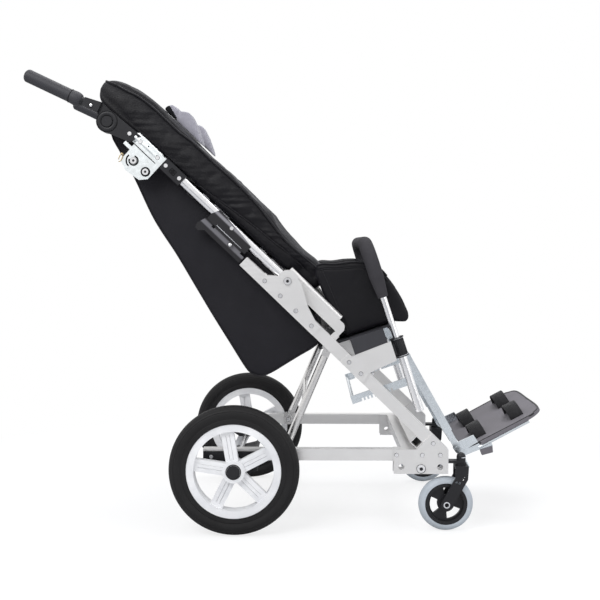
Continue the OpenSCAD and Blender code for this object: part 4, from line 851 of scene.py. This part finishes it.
# Small parts on the frame and the back
def islands(name):
    """The box of each separate solid of a CAD node, in metres."""
    me = NODES[name].data
    parent = list(range(len(me.vertices)))

    def root(i):
        while parent[i] != i:
            parent[i] = parent[parent[i]]
            i = parent[i]
        return i

    def unite(i, j):
        a, b = root(i), root(j)
        if a != b:
            parent[a] = b

    for e in me.edges:
        unite(e.vertices[0], e.vertices[1])
    first, groups = {}, {}
    for i, v in enumerate(me.vertices):
        unite(first.setdefault(tuple(round(c, 5) for c in v.co), i), i)
    for i, v in enumerate(me.vertices):
        groups.setdefault(root(i), []).append(tuple(v.co))
    boxes = [(np.array(pts).min(axis=0), np.array(pts).max(axis=0)) for pts in groups.values()]
    return sorted(boxes, key=lambda b: (round(b[0][1], 3), round(b[0][0], 3), b[0][2]))


def lathe(name, centre, axis, profile, mat, body, slot, steps=48, smooth=True):
    """A turned piece: profile holds (radius, height along the axis)."""
    a = Vector(axis).normalized()
    u = a.orthogonal().normalized()
    v = a.cross(u)
    rows = []
    for q in np.linspace(0, 2 * math.pi, steps, endpoint=False):
        d = u * math.cos(q) + v * math.sin(q)
        rows.append([Vector(centre) + d * r + a * h for r, h in profile])
    rows.append(rows[0])
    o = piece(name, *loft(rows, ring=False), mat, body, slot, smooth)
    even_normals(o.data, weld=True)
    return o


def ring(name, centre, axis, radius, thick, mat, body, slot, steps=40, height=0.0):
    profile = [(radius + thick * math.cos(q), height + thick * math.sin(q)) for q in np.linspace(0, 2 * math.pi, 9)]
    return lathe(name, centre, axis, profile, mat, body, slot, steps)


def join(name, pieces):
    """Makes one piece of several that ride on the same body."""
    target = pieces[0]
    mats = []
    for o in pieces:
        mats += [m for m in o.data.materials if m not in mats]
    bm = bmesh.new()
    for o in pieces:
        start = len(bm.faces)
        bm.from_mesh(o.data)
        bm.faces.ensure_lookup_table()
        at = [mats.index(m) for m in o.data.materials]
        for f in bm.faces[start:]:
            f.material_index = at[f.material_index]
    me = bpy.data.meshes.new(name)
    bm.to_mesh(me)
    bm.free()
    for m in mats:
        me.materials.append(m)
    for o in pieces[1:]:
        bpy.data.objects.remove(o, do_unlink=True)
    target.data = me
    target.name = name


# Painted shade: dark rings round rivets and bolts for their shadow lines, and dark discs for the sockets in large heads
SHADOW_RING_SIZE, SMALLEST_SOCKET, NEAR_MIDDLE = 0.00045, 0.0065, 0.15
for node, body in (("frame_rivets", "frame"), ("frame_bolts", "frame"), ("back_fasteners", "back")):
    ride = (body, "zinc_steel")
    made = []
    for i, (lo, hi) in enumerate(islands(node)):
        c = (lo + hi) / 2
        r = (hi[0] - lo[0]) / 2
        if abs(c[1]) < NEAR_MIDDLE:
            continue
        s = 1 if c[1] > 0 else -1
        place, axis = (c[0], hi[1] if s > 0 else lo[1], c[2]), (0, s, 0)
        made.append(ring("%s_ring_%d" % (node, i), place, axis, r + 0.0001, SHADOW_RING_SIZE, "shadow", *ride,
                         steps=28, height=-0.0012))
        if r > SMALLEST_SOCKET:
            made.append(lathe("%s_socket_%d" % (node, i), place, axis,
                              [(0.0, 0.0003), (0.42 * r, 0.0003), (0.46 * r, -0.0001)], "nylon", *ride,
                              steps=6, smooth=False))
    join("%s_rings" % node, made)

NYLON, ZINC, BRIGHT = (("back", slot) for slot in ("black_nylon", "zinc_steel", "bright_aluminium"))
# Knuckle disc: (radius, height) from its inner edge out
DISC = [(0.0135, 0.0), (0.0138, 0.0012), (0.0148, 0.0018), (0.0208, 0.0018), (0.0222, 0.0012), (0.0228, -0.0004)]
# Sleeve over the back tube: (place along the tube, share of its full section)
SLEEVE = [(-479, 0.93), (-477.5, 0.985), (-475, 1.0), (-406, 1.0), (-403.5, 0.985), (-402, 0.93)]
SLEEVE_Y, SLEEVE_OUT, SLEEVE_R = 213.8, 229.2, (14.2, 14.6)
# Outer faces of the back's small parts, from the middle plane
WINDOW_Y, PLATE_Y, FACE_Y, SCREW_Y = 227.5, 227.7, 228.0, 229.0
# Slots of the anchor plate, drawn as painted shade: centre, radius, and the angles they run between
SLOTS = ((-443.1, -42.3, 10.2, -160, 118), (-443.1, -42.3, 16.5, 172, 268), (-406.2, -42.3, 9.4, 0, 360))
SCREWS = ((-472, 3.0), (-440, 4.5), (-412, 2.0))
HOOK_S, HOOK_N = -469, -57
# Corners of the clamp's window, along and across
WINDOW = ((-368, -5), (-354, -5), (-354, 6), (-368, 6))
GRIP_LEAN, COLLAR_LEAN = math.radians(25.3), math.radians(18.2)
FLARE = [(0.0112, -0.002), (0.0136, 0.0), (0.0158, 0.006), (0.0165, 0.012), (0.0161, 0.018), (0.0152, 0.024)]
COLLAR_R, COLLAR_HALF, COLLAR_RIBS = 0.0146, 0.018, 20
SPOKES, SPOKE_TURN, SPOKE_FACE, SPOKE_STRIP, STRIP_T, STRIP_EDGE = 5, 27.5, 0.26765, 0.0039, 0.0044, 0.0004

for tag, s in SIDES:
    axis = (0, s, 0)
    handle, wheel, fork = ("%s_%s" % (body, tag) for body in ("handle", "wheel", "caster_fork"))
    # Knuckle: a stepped disc, with dark rings of painted shade for the groove round the push button and at its outer
    # edge
    k = world(-287.86, s * FACE_Y, 943.75)
    join("knuckle_trim_%s" % tag, [
        lathe("knuckle_disc", k, axis, DISC, "nylon", *NYLON, steps=64),
        ring("knuckle_groove", k, axis, 0.0140, 0.0009, "shadow", *NYLON, steps=64, height=0.0006),
        ring("knuckle_groove_out", k, axis, 0.0236, 0.0007, "shadow", *NYLON, steps=64)])
    # Sleeve over the back tube, between the knuckle and the clamp
    section = [(SLEEVE_R[0] * math.sin(t), s * min(SLEEVE_Y + SLEEVE_R[1] * math.cos(t), SLEEVE_OUT))
               for t in np.linspace(-0.60 * math.pi, 0.42 * math.pi, 22)]
    rows = [[back(u, n * f, s * SLEEVE_Y + (y - s * SLEEVE_Y) * f) for n, y in section] for u, f in SLEEVE]
    piece("tube_sleeve_%s" % tag, *loft(rows, ring=False), "plate", *ZINC)
    # Slots of the anchor plate and a shadow line under the sleeve's lower edge, drawn as dark cords of painted shade,
    # and the sleeve's small dark screws
    made = []
    for j, (cs, cn, r, a0, a1) in enumerate(SLOTS):
        line = [back(cs + r * math.cos(a), cn + r * math.sin(a), s * (PLATE_Y + 0.4))
                for a in np.linspace(math.radians(a0), math.radians(a1), 40)]
        made.append(tube("slot_%d" % j, line, 0.00165, "shadow", *ZINC, sides=8))
    line = [back(q, -13.2, s * 228.3) for q in (-478, -440, -403)]
    made.append(tube("sleeve_painted_shadow", line, 0.0011, "shadow", *ZINC, sides=6))
    for j, (us, un) in enumerate(SCREWS):
        made.append(lathe("sleeve_screw_%d" % j, back(us, un, s * SCREW_Y), axis,
                          [(0.0, 0.0004), (0.0011, 0.0004), (0.0014, -0.0006)], "shadow", *ZINC, steps=12))
    join("anchor_trim_%s" % tag, made)
    # Snap hook: an open loop of wire
    line = [back(HOOK_S + 3.6 * math.cos(a) - 3 * math.sin(a), HOOK_N + 9.5 * math.sin(a), s * (PLATE_Y + 1.2))
            for a in np.linspace(-0.55 * math.pi, 1.25 * math.pi, 26)]
    tube("snap_hook_%s" % tag, line, 0.0011, "brass", *ZINC, sides=8)
    # Square window of the clamp, drawn as painted shade: dark edges and a dark floor
    made = []
    for j, (p, q) in enumerate(zip(WINDOW, WINDOW[1:] + WINDOW[:1])):
        line = [back(*p, s * WINDOW_Y), back(*q, s * WINDOW_Y)]
        made.append(tube("window_%d" % j, line, 0.0009, "shadow", *NYLON, sides=6))
    made.append(lathe("window_floor", back(-361, 0.5, s * 227.3), axis, [(0.0, 0.0004), (0.0062, 0.0004)], "shadow",
                      *NYLON, steps=4, smooth=False))
    join("clamp_window_%s" % tag, made)
    # Flare where the grip meets its arm, with a dark ring of painted shade in its groove, and the arm's rivet with a
    # ring of painted shadow round it
    out = Vector((-math.cos(GRIP_LEAN), 0, math.sin(GRIP_LEAN)))
    foot_of_grip = Vector((-0.4760, s * 0.214, 0.9925))
    join("grip_flare_%s" % tag, [
        lathe("flare", foot_of_grip, out, FLARE, "grip", handle, "black_nylon"),
        ring("flare_groove", foot_of_grip, out, 0.0156, 0.0007, "shadow", handle, "black_nylon", height=0.025)])
    rivet = Vector((-0.4497, s * 0.2290, 0.9801))
    join("arm_rivet_%s" % tag, [
        lathe("arm_rivet", rivet, axis, [(0.0, 0.0013), (0.0026, 0.0011), (0.0038, 0.0002), (0.0040, -0.0004)],
              "bright", handle, "bright_aluminium", steps=24),
        ring("arm_rivet_ring", rivet, axis, 0.0043, 0.0005, "shadow", handle, "bright_aluminium", steps=24)])
    # Rivet of the latch's lower sleeve, with a ring of painted shadow round it, and a thin white cord along the housing
    # as a painted highlight
    rivet = back(-152.7, -30.5, s * FACE_Y)
    line = [back(q, -19.0, s * FACE_Y) for q in (-205, -170, -128)]
    join("latch_trim_%s" % tag, [
        lathe("latch_rivet", rivet, axis, [(0.0, 0.0014), (0.0030, 0.0012), (0.0043, 0.0003), (0.0046, -0.0004)],
              "bright", *BRIGHT, steps=24),
        ring("latch_rivet_ring", rivet, axis, 0.0049, 0.0005, "shadow", *BRIGHT, steps=24),
        tube("latch_painted_highlight", line, 0.0006, "rim_line", *BRIGHT, sides=6)])
    # Ribs round the bar's collar, between two pale rings
    up = Vector((-math.sin(COLLAR_LEAN), 0, math.cos(COLLAR_LEAN)))
    base = world(380.98, s * 200.0, 426.96)
    side = up.orthogonal().normalized()
    made = [ring("collar_rib_%d" % j, base, up, 0.01475, 0.0006, "rim_line", "frame", "black_nylon", height=h)
            for j, h in enumerate((-0.0205, 0.0205))]
    for j, q in enumerate(np.linspace(0, 2 * math.pi, COLLAR_RIBS, endpoint=False)):
        p = base + (side * math.cos(q) + up.cross(side) * math.sin(q)) * COLLAR_R
        made.append(tube("collar_ridge_%d" % j, [p - up * COLLAR_HALF, p + up * COLLAR_HALF], 0.0007, "nylon",
                         "frame", "black_nylon", sides=6))
    join("collar_ribs_%s" % tag, made)
    # Ring on the caster's stem, and a washer and bolt at its axle
    ring("stem_ring_%s" % tag, (0.400, s * 0.217, 0.1722), (0, 0, 1), 0.0096, 0.0011, "rim_line", "frame",
         "rim_white", steps=32)
    axle = world(489.7, s * 237.5, 63.5)
    join("caster_axle_trim_%s" % tag, [
        ring("axle_washer", axle, axis, 0.0062, 0.0014, "rim_line", fork, "zinc_steel", steps=32, height=0.0004),
        lathe("axle_bolt", axle, axis, [(0.0, 0.0012), (0.0044, 0.0012), (0.0050, 0.0002)], "shadow", fork,
              "zinc_steel", steps=6, smooth=False)])
    # Groove round the hub cap, drawn as a dark ring of painted shade, and a strip in the channel of each spoke
    made = [ring("hub_groove", world(0.0, s * 280.0, 150.0), axis, 0.0167, 0.0012, "shadow", wheel, "rim_white",
                 steps=64, height=-0.0002)]
    for j in range(SPOKES):
        turn = math.radians(SPOKE_TURN + 360 // SPOKES * j)
        c, k = math.cos(turn), math.sin(turn)
        rows = []
        for r, w in ((0.0262, 0.0032), (0.0270, SPOKE_STRIP), (0.0900, SPOKE_STRIP), (0.0908, 0.0032)):
            rows.append([world(0, 0, 150) + Vector((r * c - x * k, s * (SPOKE_FACE - h), r * k + x * c))
                         for x, h in ((-w, STRIP_EDGE), (-w + 0.0006, 0.0), (w - 0.0006, 0.0), (w, STRIP_EDGE),
                                      (w, STRIP_T), (-w, STRIP_T))])
        made.append(piece("spoke_web", *loft(rows), "rim", wheel, "rim_white", smooth=False))
    join("hub_trim_%s" % tag, made)

# Edge strip round the footplate's mat
EDGE = [(12, -148), (176, -152.5), (202, -143), (219.5, -112), (221, 0), (219.5, 112), (202, 143), (176, 152.5),
        (12, 148)]
line = [foot(u, -14.6, y) for u, y in curve(EDGE, 160)]
tube("footplate_edge", line, 0.0022, "nylon", "foot", "black_nylon", sides=8)


# World: white for the camera, soft for the rest
def shader(t, kind, colour=None, strength=None):
    n = t.nodes.new("ShaderNode" + kind)
    if colour is not None:
        n.inputs["Color"].default_value = (*colour, 1)
    if strength is not None:
        n.inputs["Strength"].default_value = strength
    return n


def blend(t, kind, *sources):
    """A mix or sum of shaders, fed by its sources in order."""
    n = t.nodes.new("ShaderNode" + kind)
    for i, source in enumerate(sources):
        t.links.new(source, n.inputs[i])
    return n.outputs[0]


scene.world = bpy.data.worlds.new("studio")
scene.world.use_nodes = True
wt = scene.world.node_tree
wt.nodes.clear()
soft = shader(wt, "Background", (0.93, 0.95, 1.0), 0.66)
white = shader(wt, "Background", (1, 1, 1), 1.0)
mirrored = shader(wt, "Background", (1, 1, 1))
path = wt.nodes.new("ShaderNodeLightPath").outputs
# Mirrors see a darker room in front of the object, which gives metal its contrast
way = parts_of(wt, wt.nodes.new("ShaderNodeTexCoord").outputs["Generated"])
wt.links.new(span(wt, way[1], 0.86, 1.0, -0.75, 0.15), mirrored.inputs["Strength"])
seen = math_node(wt, "MAXIMUM", path["Is Camera Ray"], path["Is Transmission Ray"])
unseen = blend(wt, "MixShader", path["Is Glossy Ray"], soft.outputs[0], mirrored.outputs[0])
sky = blend(wt, "MixShader", seen, unseen, white.outputs[0])
wt.links.new(sky, wt.nodes.new("ShaderNodeOutputWorld").inputs[0])

# Lamps: place, size and watts
AIM = Vector((0, 0, 0.5))
LAMPS = (("key", (-1.2, -1.9, 2.3), (1.4, 1.0), 34.0), ("top", (0.2, 0.3, 2.6), (1.8, 1.4), 24.0),
         ("side", (1.9, -1.4, 1.3), (0.9, 1.4), 9.0))
for name, place, size, power in LAMPS:
    lamp = bpy.data.lights.new(name, "AREA")
    lamp.shape = "RECTANGLE"
    lamp.size, lamp.size_y = size
    lamp.energy = power
    o = bpy.data.objects.new(name, lamp)
    scene.collection.objects.link(o)
    o.location = place
    o.rotation_euler = (AIM - Vector(place)).to_track_quat("-Z", "Y").to_euler()

# Floor: pale near the object with its shadow on it, white far away
FLOOR_HALF, FADE_START, FADE_END = 30, 0.75, 1.25
fm, ft, fb = new_material("floor", 0.0)
fb.inputs["Roughness"].default_value = 1.0
path = ft.nodes.new("ShaderNodeLightPath").outputs
glow, plain_white = shader(ft, "Emission"), shader(ft, "Emission")
reach = ft.nodes.new("ShaderNodeVectorMath")
reach.operation = "LENGTH"
ft.links.new(ft.nodes.new("ShaderNodeTexCoord").outputs["Object"], reach.inputs[0])
far = span(ft, reach.outputs["Value"], 0.0, 1.0, FADE_START, FADE_END)
ft.links.new(span(ft, path["Is Camera Ray"], 0.62, 0.30), fb.inputs["Base Color"])
ft.links.new(math_node(ft, "MULTIPLY", path["Is Camera Ray"], 0.74), glow.inputs["Strength"])
lit = blend(ft, "AddShader", fb.outputs[0], glow.outputs[0])
fade = math_node(ft, "MULTIPLY", far, path["Is Camera Ray"])
out = [n for n in ft.nodes if n.type == "OUTPUT_MATERIAL"][0]
ft.links.new(blend(ft, "MixShader", fade, lit, plain_white.outputs[0]), out.inputs[0])
me = bpy.data.meshes.new("floor")
corners = [(x * FLOOR_HALF, y * FLOOR_HALF, 0) for x, y in ((-1, -1), (1, -1), (1, 1), (-1, 1))]
me.from_pydata(corners, [], [(0, 1, 2, 3)])
me.materials.append(fm)
floor = bpy.data.objects.new("floor", me)
floor.location = (0, 0, -0.0005)
scene.collection.objects.link(floor)

# Camera, as solved from the photograph
cam = bpy.data.cameras.new("camera")
cam.sensor_width = 36.0
cam.lens = 54.456
eye = bpy.data.objects.new("camera", cam)
scene.collection.objects.link(eye)
eye.location = world(178.0, -2304.0, 668.0)
pitch, yaw = math.radians(3.59), math.radians(0.76)
look = Vector((-math.sin(yaw) * math.cos(pitch), math.cos(yaw) * math.cos(pitch), -math.sin(pitch)))
eye.rotation_euler = look.to_track_quat("-Z", "Y").to_euler()
scene.camera = eye

scene.view_settings.view_transform = "Standard"
